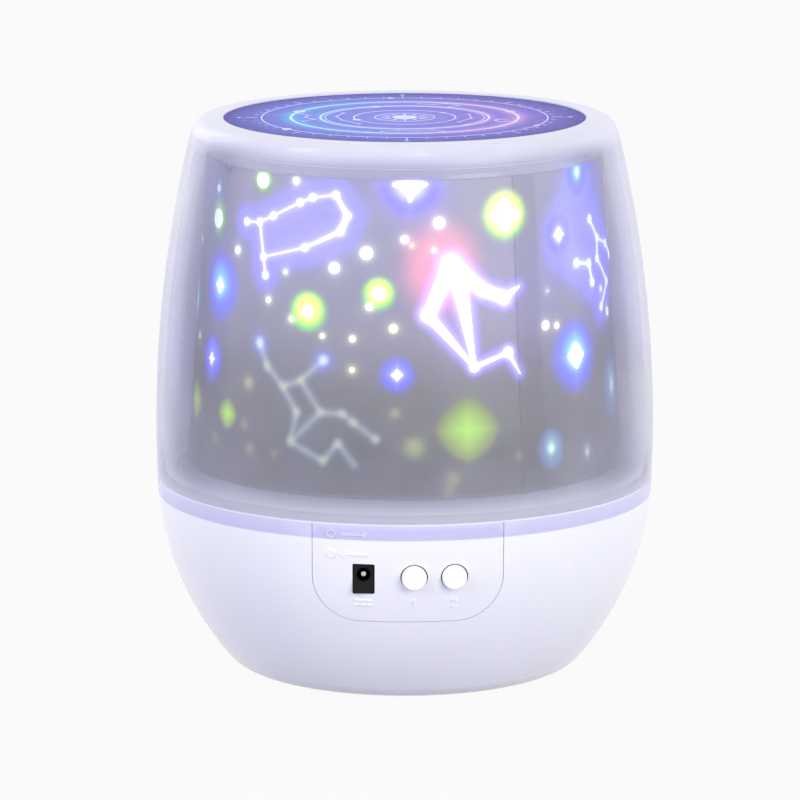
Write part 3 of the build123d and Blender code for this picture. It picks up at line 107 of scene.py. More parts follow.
def mouldedPlastic(look):
    # moulded plastic: even colour with a faint cloud, fine tool texture, edges rubbed a little lighter;
    # the texture of the real tools is finer than a render shows, so each grain here is drawn coarser
    material, tree, place = newMaterial(look["name"])
    cloud = addNode(tree, "TexNoise", {"Vector": place, "Scale": scaleFor(look["cloudMm"]), "Detail": 4.0})
    share = addNode(tree, "MapRange", [cloud, *noiseSpan, 0.0, 1.0])
    tones = {0: share, 6: toLinear(look["colour"]), 7: toLinear(look["shade"])}
    colour = addNode(tree, "Mix", tones, 2, data_type="RGBA")
    if "paintedShadeBand" in look:
        # painted light and shade: the lip of the bowl is tinted a darker lavender between two heights,
        # standing in for the shade at the parting and the lamp's light through the thin lip
        height = addNode(tree, "SeparateXYZ", [place], "Z")
        (low, high), soft = look["paintedShadeHeights"], look["paintedShadeSoft"]
        above = addNode(tree, "MapRange", [height, low - soft, low + soft, 0.0, 1.0])
        below = addNode(tree, "MapRange", [height, high, high + soft, 1.0, 0.0])
        inside = addNode(tree, "Math", [above, below], operation="MULTIPLY")
        tones = {0: inside, 6: colour, 7: toLinear(look["paintedShadeBand"])}
        colour = addNode(tree, "Mix", tones, 2, data_type="RGBA")
    point = addNode(tree, "NewGeometry", give="Pointiness")
    worn = addNode(tree, "MapRange", [point, 0.52, 0.6, 0.0, 0.25])
    colour = addNode(tree, "Mix", {0: worn, 6: colour, 7: toLinear(look["worn"])}, 2, data_type="RGBA")
    scuffs = addNode(tree, "TexNoise", {
        "Vector": place, "Scale": scaleFor(3.0), "Detail": 8.0, "Roughness": 0.7,
    })
    least, most = look["rough"] - look["roughSpread"], look["rough"] + look["roughSpread"]
    grain = addNode(tree, "TexNoise", {"Vector": place, "Scale": scaleFor(look["grainMm"]), "Detail": 2.0})
    depth = look["grainDepthMm"] * mm
    shader = addNode(tree, "BsdfPrincipled", {
        "Base Color": colour, "Roughness": addNode(tree, "MapRange", [scuffs, *noiseSpan, least, most]),
        "Normal": addNode(tree, "Bump", {"Height": grain, "Distance": depth, "Strength": 0.6}),
        "IOR": look.get("ior", 1.54), "Specular IOR Level": look.get("specular", 0.5),
        "Coat Weight": look.get("coat", 0.0), "Coat Roughness": 0.12,
        "Subsurface Weight": look.get("scatter", 0.0), "Subsurface Radius": (0.9, 0.9, 1.0),
        "Subsurface Scale": look.get("scatterMm", 1.0) * mm,
    })
    addNode(tree, "OutputMaterial", [shader])
    return material


def metalFinish(look):
    # plated or rolled metal: base tint, drawing lines along one axis, dull patches where it oxidises;
    # the lines are drawn coarser than real ones, which a render doesn't show
    material, tree, place = newMaterial(look["name"])
    stretch = addNode(tree, "Mapping", {"Vector": place, "Scale": look["lineScale"]})
    lines = addNode(tree, "TexNoise", {"Vector": stretch, "Scale": scaleFor(look["lineMm"]), "Detail": 2.0})
    blots = {"Vector": place, "Scale": scaleFor(look["patchMm"]), "Detail": 5.0}
    patches = addNode(tree, "TexNoise", blots)
    share = addNode(tree, "MapRange", [patches, *noiseSpan, 0.0, 1.0])
    tones = {0: share, 6: toLinear(look["colour"]), 7: toLinear(look["shade"])}
    dull = addNode(tree, "MapRange", [patches, *noiseSpan, look["rough"], look["rough"] + 0.15])
    shader = addNode(tree, "BsdfPrincipled", {
        "Base Color": addNode(tree, "Mix", tones, 2, data_type="RGBA"), "Metallic": 1.0,
        "Roughness": addNode(
            tree, "Math", [lines, look["roughSpread"], dull], operation="MULTIPLY_ADD", use_clamp=True
        ),
        "Normal": addNode(tree, "Bump", {
            "Height": lines, "Distance": look["depthMm"] * mm, "Strength": 0.5,
        }),
    })
    addNode(tree, "OutputMaterial", [shader])
    return material


glossWhite = {
    # high-gloss ABS from a polished tool: bright, cool white with a soft sheen
    "name": "glossMouldedWhiteAbs", "colour": "#f8f8ff", "shade": "#f4f4fd", "worn": "#fcfcff",
    # painted shade: a darker lavender band at the lip, between two heights
    "paintedShadeBand": "#c8c6ec", "paintedShadeHeights": (0.0457, 0.0502), "paintedShadeSoft": 0.0002,
    "cloudMm": 30.0, "rough": 0.24, "roughSpread": 0.04, "grainMm": 1.6, "grainDepthMm": 0.012,
    "coat": 0.25,
}
plastics = {
    "white_abs": glossWhite,
    # natural polyamide: waxy off-white, a little light goes in at the teeth
    "natural_nylon": {
        "name": "mouldedNaturalNylon", "colour": "#e9e6da", "shade": "#dcd8c8", "worn": "#f3f0e6",
        "cloudMm": 9.0, "rough": 0.42, "roughSpread": 0.06, "grainMm": 0.8, "grainDepthMm": 0.02,
        "scatter": 0.2, "scatterMm": 1.5, "ior": 1.53,
    },
    # acetal glide ring: cool white, slippery satin
    "white_acetal": {
        "name": "mouldedWhiteAcetal", "colour": "#e9e8f6", "shade": "#e2e1f2", "worn": "#f2f2fb",
        "cloudMm": 8.0, "rough": 0.35, "roughSpread": 0.05, "grainMm": 0.8, "grainDepthMm": 0.01,
        "ior": 1.48,
    },
    # matt grey ABS with a spark-eroded tool texture
    "grey_abs": {
        "name": "mattMouldedGreyAbs", "colour": "#b9bcc3", "shade": "#adb0b8", "worn": "#c9ccd2",
        "cloudMm": 12.0, "rough": 0.55, "roughSpread": 0.06, "grainMm": 0.7, "grainDepthMm": 0.04,
    },
    # black PBT of the inlet and switches: deep black, sharp small highlights
    "black_plastic": {
        "name": "mouldedBlackPbt", "colour": "#020203", "shade": "#050506", "worn": "#0c0c0e",
        "cloudMm": 5.0, "rough": 0.5, "roughSpread": 0.06, "grainMm": 0.6, "grainDepthMm": 0.02,
        "specular": 0.2, "ior": 1.55,
    },
    # soft rubber feet: matt, dusty at the rim
    "foot_rubber": {
        "name": "mouldedGreyRubber", "colour": "#8d8f96", "shade": "#7b7d85", "worn": "#a9abb1",
        "cloudMm": 3.0, "rough": 0.8, "roughSpread": 0.06, "grainMm": 0.5, "grainDepthMm": 0.05,
        "ior": 1.52,
    },
    # epoxy chip body: charcoal, finely pitted
    "chip_epoxy": {
        "name": "mouldedChipEpoxy", "colour": "#1b1c1f", "shade": "#24252a", "worn": "#3a3b40",
        "cloudMm": 1.5, "rough": 0.5, "roughSpread": 0.08, "grainMm": 0.25, "grainDepthMm": 0.02,
        "ior": 1.55,
    },
    # sintered ferrite: dark grey stone, pitted
    "ferrite": {
        "name": "sinteredFerrite", "colour": "#2c2d31", "shade": "#3a3b40", "worn": "#5a5b60",
        "cloudMm": 1.2, "rough": 0.6, "roughSpread": 0.1, "grainMm": 0.4, "grainDepthMm": 0.05,
    },
    # extruded vinyl: satin red lead, slight waviness
    "wire_insulation": {
        "name": "extrudedVinylInsulation", "colour": "#b8342e", "shade": "#a62b26", "worn": "#cc5a52",
        "cloudMm": 6.0, "rough": 0.4, "roughSpread": 0.05, "grainMm": 1.0, "grainDepthMm": 0.03,
        "ior": 1.53,
    },
}
metals = {
    # bright nickel over steel
    "nickel_plate": {
        "name": "nickelPlatedSteel", "colour": "#d8d4cb", "shade": "#c4bfb4", "lineScale": (1, 1, 0.2),
        "lineMm": 0.3, "patchMm": 4.0, "rough": 0.16, "roughSpread": 0.12, "depthMm": 0.004,
    },
    # zinc with a blue passivation: pale, slightly mottled
    "zinc_steel": {
        "name": "zincPlatedSteel", "colour": "#c3c7cc", "shade": "#a9aeb6", "lineScale": (1, 1, 0.3),
        "lineMm": 0.3, "patchMm": 2.0, "rough": 0.28, "roughSpread": 0.15, "depthMm": 0.006,
    },
    # drawn spring wire: grey, die lines along the wire
    "spring_steel": {
        "name": "drawnSpringSteel", "colour": "#a9a8a6", "shade": "#8f8e8c", "lineScale": (1, 1, 1),
        "lineMm": 0.25, "patchMm": 3.0, "rough": 0.3, "roughSpread": 0.12, "depthMm": 0.006,
    },
    # stacked laminations: fine dark layers across the stack
    "lamination_steel": {
        "name": "stackedLaminationSteel", "colour": "#8a8b8d", "shade": "#6c6d70",
        "lineScale": (0.1, 0.1, 1), "lineMm": 0.5, "patchMm": 1.5, "rough": 0.42, "roughSpread": 0.15,
        "depthMm": 0.02,
    },
}
finishes = {slot: mouldedPlastic(look) for slot, look in plastics.items()}
finishes.update({slot: metalFinish(look) for slot, look in metals.items()})
print("plastics and metals ready")

coverLook = {
    # satin-frosted polypropylene, 2 mm: milky, more so at a slant, clear enough to read the film behind;
    # veils are (height, veil); at the rim and the foot the wall grows milkier, given as (from, to, veil)
    "colour": "#e5e5f5", "rough": 0.33, "roughSpread": 0.04, "veils": ((0.085, 0.1), (0.056, 0.18)),
    "rim": (0.1348, 0.1428, 0.82), "foot": (0.058, 0.0498, 0.5),
    # tints of what passes through, by slant: some loss in the thicker wall, and a dip near the middle that is
    # painted shade
    "slantLossAndPaintedShade": [
        (0.3, "#fdfdfe"), (0.46, "#d9d8e0"), (0.56, "#dbdae3"), (0.7, "#f8f8fc"), (1.0, "#fafafe"),
    ],
    "cloudMm": 14.0, "grainMm": 0.5, "grainDepthMm": 0.0006,
}


def frostedCover(look):
    material, tree, place = newMaterial("satinFrostedPolypropylene")
    height = addNode(tree, "SeparateXYZ", [place], "Z")
    cloud = addNode(tree, "TexNoise", {"Vector": place, "Scale": scaleFor(look["cloudMm"]), "Detail": 3.0})
    # veil through a slanted wall: 1 - exp(-veil / cosine), milkier where the wall is thicker low down
    facing = addNode(tree, "LayerWeight", [0.5], "Facing")
    cosine = addNode(tree, "Math", [1.04, facing], operation="SUBTRACT")
    (upper, thin), (lower, thick) = look["veils"]
    coat = addNode(tree, "MapRange", [height, upper, lower, -thin, -thick])
    milk = addNode(tree, "Math", [coat, cosine], operation="DIVIDE")
    uneven = addNode(tree, "MapRange", [cloud, *noiseSpan, 0.9, 1.1])
    milk = addNode(tree, "Math", [milk, uneven], operation="MULTIPLY")
    through = addNode(tree, "Math", [milk], operation="EXPONENT")
    for start, end, veil in (look["rim"], look["foot"]):
        stops = [height, start, end, 1.0, 1 - veil]
        left = addNode(tree, "MapRange", stops, interpolation_type="SMOOTHSTEP")
        through = addNode(tree, "Math", [through, left], operation="MULTIPLY")
    grain = addNode(tree, "TexNoise", {"Vector": place, "Scale": scaleFor(look["grainMm"]), "Detail": 2.0})
    depth = look["grainDepthMm"] * mm
    least, most = look["rough"] - look["roughSpread"], look["rough"] + look["roughSpread"]
    milkWhite = addNode(tree, "BsdfPrincipled", {
        "Base Color": toLinear(look["colour"]), "IOR": 1.49,
        "Roughness": addNode(tree, "MapRange", [cloud, *noiseSpan, least, most]),
        "Normal": addNode(tree, "Bump", {"Height": grain, "Distance": depth, "Strength": 0.5}),
    })
    # what passes through at a slant loses some light in the thicker wall; the darker dip in the middle of the
    # ramp is painted shade, standing in for the dark inside of the drum blurred through the frosted wall
    tint = addNode(tree, "ValToRGB", [facing])
    setStops(tint, look["slantLossAndPaintedShade"])
    addNode(tree, "OutputMaterial", [
        addNode(tree, "MixShader", [through, milkWhite, addNode(tree, "BsdfTransparent", [tint])])
    ])
    return material


drumLook = {
    # clear moulded polystyrene: pale haze face on, brighter thin edges, and towards the top a painted glow:
    # an emission standing in for the lamps' light caught in the wall
    "colour": "#d6d5e4", "light": "#cbc9de", "paintedGlowMost": 0.14, "paintedGlowHeights": (0.065, 0.128),
    "haze": (0.06, 0.12), "hazeOverLamps": 0.3, "edgeHaze": 0.55, "rough": (0.08, 0.16), "streakMm": 6.0,
    "streakDepthMm": 0.02,
}


def clearStyrene(look):
    material, tree, place = newMaterial("clearMouldedPolystyrene")
    facing = addNode(tree, "LayerWeight", [0.25], "Facing")
    streaks = addNode(tree, "TexNoise", {"Vector": place, "Scale": scaleFor(look["streakMm"]), "Detail": 2.0})
    # the haze grows towards the top, over the lamps, and so does the painted glow, an emission standing in
    # for the lamps' light piped in the clear wall
    height = addNode(tree, "SeparateXYZ", [place], "Z")
    share = addNode(tree, "MapRange", [height, *look["paintedGlowHeights"], 0.0, 1.0])
    haze = addNode(tree, "MapRange", [streaks, *noiseSpan, *look["haze"]])
    haze = addNode(tree, "Math", [share, look["hazeOverLamps"], haze], operation="MULTIPLY_ADD")
    show = addNode(tree, "Math", [facing, look["edgeHaze"], haze], operation="MULTIPLY_ADD", use_clamp=True)
    depth = look["streakDepthMm"] * mm
    skin = addNode(tree, "BsdfPrincipled", {
        "Base Color": toLinear(look["colour"]), "IOR": 1.59,
        # painted light: the drum glows though it is no lamp
        "Emission Color": toLinear(look["light"]),
        "Emission Strength": addNode(tree, "Math", [share, look["paintedGlowMost"]], operation="MULTIPLY"),
        "Roughness": addNode(tree, "MapRange", [streaks, *noiseSpan, *look["rough"]]),
        "Normal": addNode(tree, "Bump", {"Height": streaks, "Distance": depth, "Strength": 0.3}),
    })
    clear = addNode(tree, "BsdfTransparent")
    addNode(tree, "OutputMaterial", [addNode(tree, "MixShader", [show, clear, skin])])
    return material


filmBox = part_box("side_film")
filmLow, filmHigh = filmBox[0].z, filmBox[1].z
groundLook = {
    # polyester film with a grey screen-printed ground; light shows through where the ink is left out; the
    # stops run from dark at the foot to light at the head, painted light standing in for the lamps' light
    # through the film
    "stops": [
        (0.0, "#3c3c30"), (0.14, "#3f3f32"), (0.32, "#727268"), (0.5, "#95939a"), (0.7, "#a2a0b2"),
        (1.0, "#b0aebf"),
    ],
    "mottle": "#8c8aa0", "mottleMm": 9.0, "mottleMost": 0.2, "bare": "#26252a", "rough": (0.35, 0.5),
    "grainMm": 0.8, "grainDepthMm": 0.001,
}


def printedFilm(look):
    material, tree, place = newMaterial("screenPrintedPolyesterFilm")
    height = addNode(tree, "SeparateXYZ", [place], "Z")
    paintedBacklightRise = addNode(tree, "MapRange", [height, filmLow, filmHigh, 0.0, 1.0])
    # painted light: the ground lightens from foot to head, standing in for the lamps' light shining through
    # the film from inside
    ground = addNode(tree, "ValToRGB", [paintedBacklightRise])
    setStops(ground, look["stops"])
    mottle = addNode(tree, "TexNoise", {"Vector": place, "Scale": scaleFor(look["mottleMm"]), "Detail": 4.0})
    share = addNode(tree, "MapRange", [mottle, *noiseSpan, 0.0, look["mottleMost"]])
    tones = {0: share, 6: ground, 7: toLinear(look["mottle"])}
    ground = addNode(tree, "Mix", tones, 2, data_type="RGBA")
    # the print's alpha holds how much of the grey ground is left: less under coloured inks and at the lap
    printed = addNode(tree, "Attribute", give="Color", attribute_name="glow")
    left = printed.node.outputs["Alpha"]
    tones = {0: left, 6: toLinear(look["bare"]), 7: ground}
    ground = addNode(tree, "Mix", tones, 2, data_type="RGBA")
    grain = addNode(tree, "TexNoise", {"Vector": place, "Scale": scaleFor(look["grainMm"]), "Detail": 2.0})
    depth = look["grainDepthMm"] * mm
    shader = addNode(tree, "BsdfPrincipled", {
        "Base Color": ground, "IOR": 1.57, "Specular IOR Level": 0.2,
        "Roughness": addNode(tree, "MapRange", [mottle, *noiseSpan, *look["rough"]]),
        "Emission Color": printed, "Emission Strength": 1.0,
        "Normal": addNode(tree, "Bump", {"Height": grain, "Distance": depth, "Strength": 0.25}),
    })
    addNode(tree, "OutputMaterial", [shader])
    return material


def clearInk():
    # bare film between the inks: the lamp's own colour as painted light, an emission a little uneven in
    # strength
    material, tree, place = newMaterial("unprintedFilmWindow")
    light = addNode(tree, "Attribute", give="Color", attribute_name="glow")
    uneven = addNode(tree, "TexNoise", {"Vector": place, "Scale": scaleFor(1.5), "Detail": 2.0})
    shader = addNode(tree, "BsdfPrincipled", {
        "Base Color": toLinear("#d8d8e8"), "IOR": 1.57, "Emission Color": light,
        "Roughness": addNode(tree, "MapRange", [uneven, *noiseSpan, 0.3, 0.45]),
        "Emission Strength": addNode(tree, "MapRange", [uneven, *noiseSpan, 1.3, 1.5]),
        "Normal": addNode(tree, "Bump", {"Height": uneven, "Distance": 0.01 * mm, "Strength": 0.4}),
    })
    addNode(tree, "OutputMaterial", [shader])
    return material


def labelPrint():
    # satin-laminated paper print: deep inks under a thin clear skin
    material, tree, place = newMaterial("laminatedLabelPrint")
    ink = addNode(tree, "Attribute", give="Color", attribute_name="ink")
    clouds = addNode(tree, "TexNoise", {
        "Vector": place, "Scale": scaleFor(11.0), "Detail": 6.0, "Roughness": 0.6,
    })
    share = addNode(tree, "MapRange", [clouds, 0.5, 0.75, 0.0, 0.35])
    ink = addNode(
        tree, "Mix", {0: share, 6: ink, 7: toLinear("#7d76d6")}, 2, data_type="RGBA", blend_type="SCREEN"
    )
    stars = addNode(tree, "TexVoronoi", {"Vector": place, "Scale": scaleFor(2.6), "Randomness": 1.0})
    share = addNode(tree, "MapRange", [stars, 0.06, 0.12, 0.7, 0.0])
    ink = addNode(tree, "Mix", {0: share, 6: ink, 7: toLinear("#e6ecff")}, 2, data_type="RGBA")
    grain = addNode(tree, "TexNoise", {"Vector": place, "Scale": scaleFor(1.2), "Detail": 2.0})
    shader = addNode(tree, "BsdfPrincipled", {
        "Base Color": ink, "IOR": 1.45, "Specular IOR Level": 0.2,
        "Roughness": addNode(tree, "MapRange", [clouds, *noiseSpan, 0.42, 0.55]),
        "Normal": addNode(tree, "Bump", {"Height": grain, "Distance": 0.006 * mm, "Strength": 0.5}),
    })
    addNode(tree, "OutputMaterial", [shader])
    return material


def whiteInk():
    # opaque white line print over the label's inks
    material, tree, place = newMaterial("whiteLabelInk")
    uneven = addNode(tree, "TexNoise", {"Vector": place, "Scale": scaleFor(2.0), "Detail": 3.0})
    share = addNode(tree, "MapRange", [uneven, *noiseSpan, 0.0, 0.4])
    tones = {0: share, 6: toLinear("#dfe6ff"), 7: toLinear("#b9c4f6")}
    shader = addNode(tree, "BsdfPrincipled", {
        "Base Color": addNode(tree, "Mix", tones, 2, data_type="RGBA"),
        "Roughness": addNode(tree, "MapRange", [uneven, *noiseSpan, 0.4, 0.5]),
        "IOR": 1.45, "Specular IOR Level": 0.2,
        "Normal": addNode(tree, "Bump", {"Height": uneven, "Distance": 0.004 * mm, "Strength": 0.4}),
    })
    addNode(tree, "OutputMaterial", [shader])
    return material


def circuitLaminate():
    # FR-4 board: green solder mask over a faint glass weave, copper tracks as slightly lighter runs
    material, tree, place = newMaterial("solderMaskedCircuitLaminate")
    weave = addNode(
        tree, "TexWave", {"Vector": place, "Scale": 0.45 / mm, "Distortion": 0.5}, "Fac",
        wave_type="BANDS", bands_direction="DIAGONAL",
    )
    cells = {"Vector": place, "Scale": scaleFor(3.0), "Randomness": 0.6}
    tracks = addNode(tree, "TexVoronoi", cells, distance="MANHATTAN")
    lifted = addNode(tree, "MapRange", [tracks, 0.42, 0.47, 1.0, 0.0])
    tones = {0: weave, 6: toLinear("#1c5a34"), 7: toLinear("#216640")}
    mask = addNode(tree, "Mix", tones, 2, data_type="RGBA")
    mask = addNode(tree, "Mix", {0: lifted, 6: mask, 7: toLinear("#3b8a58")}, 2, data_type="RGBA")
    shader = addNode(tree, "BsdfPrincipled", {
        "Base Color": mask, "IOR": 1.55, "Coat Weight": 0.3,
        "Roughness": addNode(tree, "MapRange", [weave, 0.0, 1.0, 0.3, 0.42]),
        "Normal": addNode(tree, "Bump", {"Height": lifted, "Distance": 0.03 * mm, "Strength": 0.5}),
    })
    addNode(tree, "OutputMaterial", [shader])
    return material


def cellJacket():
    # dry cell: printed shrink sleeve, plain two-colour with a bare steel end
    material, tree, place = newMaterial("printedCellSleeve")
    along = addNode(tree, "SeparateXYZ", [place], "Y")
    bands = addNode(tree, "ValToRGB", [addNode(tree, "MapRange", [along, -0.0235, 0.0235, 0.0, 1.0])])
    bands.node.color_ramp.interpolation = "CONSTANT"
    setStops(bands, [(0.0, "#b9bbbe"), (0.06, "#2e3c55"), (0.72, "#c9a04a"), (0.94, "#b9bbbe")])
    scuffs = addNode(tree, "TexNoise", {
        "Vector": place, "Scale": scaleFor(2.0), "Detail": 6.0, "Roughness": 0.7,
    })
    tones = {0: addNode(tree, "MapRange", [scuffs, *noiseSpan, 0.0, 0.3]), 6: bands, 7: toLinear("#8d8f93")}
    shader = addNode(tree, "BsdfPrincipled", {
        "Base Color": addNode(tree, "Mix", tones, 2, data_type="RGBA"), "Metallic": 0.6, "Coat Weight": 0.4,
        "Roughness": addNode(tree, "MapRange", [scuffs, *noiseSpan, 0.25, 0.4]),
        "Normal": addNode(tree, "Bump", {"Height": scuffs, "Distance": 0.01 * mm, "Strength": 0.4}),
    })
    addNode(tree, "OutputMaterial", [shader])
    return material


def lampEpoxy(name, colour):
    # cast epoxy lamp body: glossy, tinted, lit from its own chip
    material, tree, place = newMaterial(name)
    clouds = addNode(tree, "TexNoise", {"Vector": place, "Scale": scaleFor(1.5), "Detail": 2.0})
    share = addNode(tree, "MapRange", [clouds, *noiseSpan, 0.0, 0.5])
    tones = {0: share, 6: toLinear(colour), 7: toLinear("#ffffff")}
    shade = addNode(tree, "Mix", tones, 2, data_type="RGBA")
    shader = addNode(tree, "BsdfPrincipled", {
        "Base Color": shade, "IOR": 1.55, "Transmission Weight": 0.35,
        "Emission Color": shade, "Emission Strength": 0.5,
        "Roughness": addNode(tree, "MapRange", [clouds, *noiseSpan, 0.06, 0.14]),
        "Normal": addNode(tree, "Bump", {"Height": clouds, "Distance": 0.01 * mm, "Strength": 0.3}),
    })
    addNode(tree, "OutputMaterial", [shader])
    return material


finishes["frosted_cover"] = frostedCover(coverLook)
finishes["clear_polystyrene"] = clearStyrene(drumLook)
finishes["printed_film"] = printedFilm(groundLook)
finishes["label_print"] = labelPrint()
finishes["circuit_laminate"] = circuitLaminate()
finishes["cell_jacket"] = cellJacket()
epoxyColours = {"clear": "#f2f0ff", "blue": "#4a6cff", "green": "#58e07a", "red": "#ff5a5a"}
for tintName, colour in epoxyColours.items():
    finishes["lamp_" + tintName] = lampEpoxy("castLampEpoxy" + tintName.capitalize(), colour)
windowInk = clearInk()
labelInk = whiteInk()
print("films, label and lamps ready")

ownFinish = {"seat_ring": "white_acetal"}
for entry in record["subparts"]:
    finish = finishes[ownFinish.get(entry["node"], entry["material_slot"])]
    for slot in nodes[entry["node"]].material_slots:
        slot.link = "OBJECT"
        slot.material = finish


# meshes made on a surface

def addPiece(name, vertices, faces, material, body, smooth=True):
    mesh = bpy.data.meshes.new(name)
    mesh.from_pydata([tuple(v) for v in vertices], [], faces)
    mesh.materials.append(material)
    mesh.polygons.foreach_set("use_smooth", [smooth] * len(mesh.polygons))
    mesh.update()
    piece = bpy.data.objects.new(name, mesh)
    scene.collection.objects.link(piece)
    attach(piece, body)
    return piece


def makeDisc(radiusMm, rings, segments, top, bottom):
    # a flat disc with a fine polar mesh on its upper face
    angles = 2 * np.pi * np.arange(segments) / segments
    radii = radiusMm * np.arange(1, rings + 1) / rings
    vertices = [(0, 0, top)]
    for radius, level in [(radius, top) for radius in radii] + [(radii[-1], bottom)]:
        vertices += [(radius * mm * math.cos(a), radius * mm * math.sin(a), level) for a in angles]
    faces = [(0, 1 + i, 1 + (i + 1) % segments) for i in range(segments)]
    for ring in range(rings):
        low, high = 1 + ring * segments, 1 + (ring + 1) * segments
        for i in range(segments):
            following = (i + 1) % segments
            faces.append((low + i, high + i, high + following, low + following))
    faces.append(tuple(1 + rings * segments + i for i in reversed(range(segments))))
    return vertices, faces


def paint(piece, attribute, colours):
    layer = piece.data.color_attributes.new(attribute, "FLOAT_COLOR", "POINT")
    layer.data.foreach_set("color", np.asarray(colours, dtype=np.float32).ravel())


hubLift = 0.015 * mm  # a slab with a middle point stands this much higher, clear of the lines it crosses


class SurfaceMarks:
    # gathers thin raised slabs that lie on a surface; place(u, v, lift) gives a point of that surface,
    # and perMm(u, v) gives how much of u and of v makes one millimetre there
    def __init__(self, place, perMm, lift, depth):
        self.place, self.perMm, self.lift, self.depth = place, perMm, lift, depth
        self.vertices, self.faces, self.colours = [], [], []

    def addOutline(self, outline, colour, middle=None):
        start, count = len(self.vertices), len(outline)
        top = self.lift + (hubLift if middle else 0)
        levels = (top, self.lift - self.depth)
        for lift in levels:
            self.vertices += [self.place(u, v, lift) for u, v in outline]
        self.colours += [colour] * (2 * count)
        for index in range(count):
            here, following = start + index, start + (index + 1) % count
            self.faces.append((here, here + count, following + count, following))
        if middle is None:
            self.faces.append(tuple(start + index for index in range(count)))
            self.faces.append(tuple(start + count + index for index in reversed(range(count))))
            return
        for offset, lift in zip((0, count), levels):
            hub = len(self.vertices)
            self.vertices.append(self.place(*middle, lift))
            self.colours.append(colour)
            for index in range(count):
                rim = (start + offset + index, start + offset + (index + 1) % count)
                self.faces.append((*rim, hub) if offset == 0 else (*reversed(rim), hub))

    def addStar(self, u, v, reach, colour, points=20, waist=None, ceiling=None):
        # a disc, or with a waist below 1 a four-pointed star, cut off level at the ceiling
        perU, perV = self.perMm(u, v)
        outline = []
        for index in range(points):
            angle = 2 * math.pi * index / points
            radius = reach
            if waist is not None:
                radius *= waist + (1 - waist) * abs(math.cos(2 * angle)) ** 4
            high = v + radius * math.sin(angle) * perV
            if ceiling is not None:
                high = min(high, ceiling)
            outline.append((u + radius * math.cos(angle) * perU, high))
        self.addOutline(outline, colour, (u, v if ceiling is None else min(v, ceiling - perV)))

    def addLine(self, first, second, widths, colour, stepMm=1.5):
        # a straight run whose width changes evenly from widths[0] to widths[1], in mm
        perU, perV = self.perMm((first[0] + second[0]) / 2, (first[1] + second[1]) / 2)
        run = ((second[0] - first[0]) / perU, (second[1] - first[1]) / perV)
        length = math.hypot(*run)
        steps = max(1, round(length / stepMm))
        side = (-run[1] / length * perU, run[0] / length * perV)
        rows = []
        for step in range(steps + 1):
            share = step / steps
            half = (widths[0] + (widths[1] - widths[0]) * share) / 2
            middle = [first[axis] + (second[axis] - first[axis]) * share for axis in (0, 1)]
            rows.append([
                tuple(middle[axis] + sign * side[axis] * half for axis in (0, 1)) for sign in (-1, 1)
            ])
        for (right, left), (nextRight, nextLeft) in zip(rows, rows[1:]):
            self.addOutline([right, nextRight, nextLeft, left], colour)

    def addRing(self, centre, radius, width, colour, start=0.0, end=360.0, stepMm=1.2):
        # a band round a centre, from one bearing to another in degrees
        span = math.radians(end - start)
        steps = max(8, round(radius * span / stepMm))
        corners = []
        for step in range(steps + 1):
            angle = math.radians(start) + span * step / steps
            corners.append([
                (centre[0] + (radius + sign * width / 2) * math.cos(angle),
                 centre[1] + (radius + sign * width / 2) * math.sin(angle)) for sign in (-1, 1)
            ])
        for (inner, outer), (nextInner, nextOuter) in zip(corners, corners[1:]):
            self.addOutline([inner, outer, nextOuter, nextInner], colour)

    def build(self, name, material, body, attribute=None):
        piece = addPiece(name, self.vertices, self.faces, material, body, smooth=False)
        if attribute is not None:
            paint(piece, attribute, self.colours)


def softSpot(across, up, reachAcross, reachUp, power=2.0):
    # 1 in the middle; a higher power gives a flatter middle and a sharper edge
    return np.exp(-np.hypot(across / reachAcross, up / reachUp) ** power)


def nearLine(x, y, runX, runY):
    # distance of each point from a straight run that starts at (0, 0), and how far along it lies
    along = np.clip((x * runX + y * runY) / (runX ** 2 + runY ** 2), 0, 1)
    return np.hypot(x - along * runX, y - along * runY), along


# the star print: places are (bearing in degrees to the right of the front, height in mm)

filmFootRadius = filmBox[1].x
nearHead = filmHigh - 0.1 * mm
filmHeadRadius = max(
    math.hypot(v.co.x, v.co.y) for v in nodes["side_film"].data.vertices if v.co.z > nearHead
)
filmLook = {
    "thickness": 0.25 * mm, "columns": 640, "rows": 152,  # the mesh is as fine as the print on it
    "seamBearing": 31.0, "seamGap": 0.06, "lapMiddle": 4.6, "lapHalf": 4.2, "lapLoss": 0.2,  # degrees
    "windowLift": 0.12 * mm, "windowDepth": 0.16 * mm,
    "turn": -0.8,  # the whole print is turned by this, in degrees
}


def filmRadius(height):
    return filmFootRadius + (filmHeadRadius - filmFootRadius) * (height - filmLow) / (filmHigh - filmLow)


def onFilm(bearing, heightMm, lift):
    radius = filmRadius(heightMm * mm) + lift
    angle = math.radians(bearing + filmLook["turn"])
    return Vector((radius * math.sin(angle), -radius * math.cos(angle), heightMm * mm))


def filmPerMm(bearing, heightMm):
    return math.degrees(mm / filmRadius(heightMm * mm)), 1.0


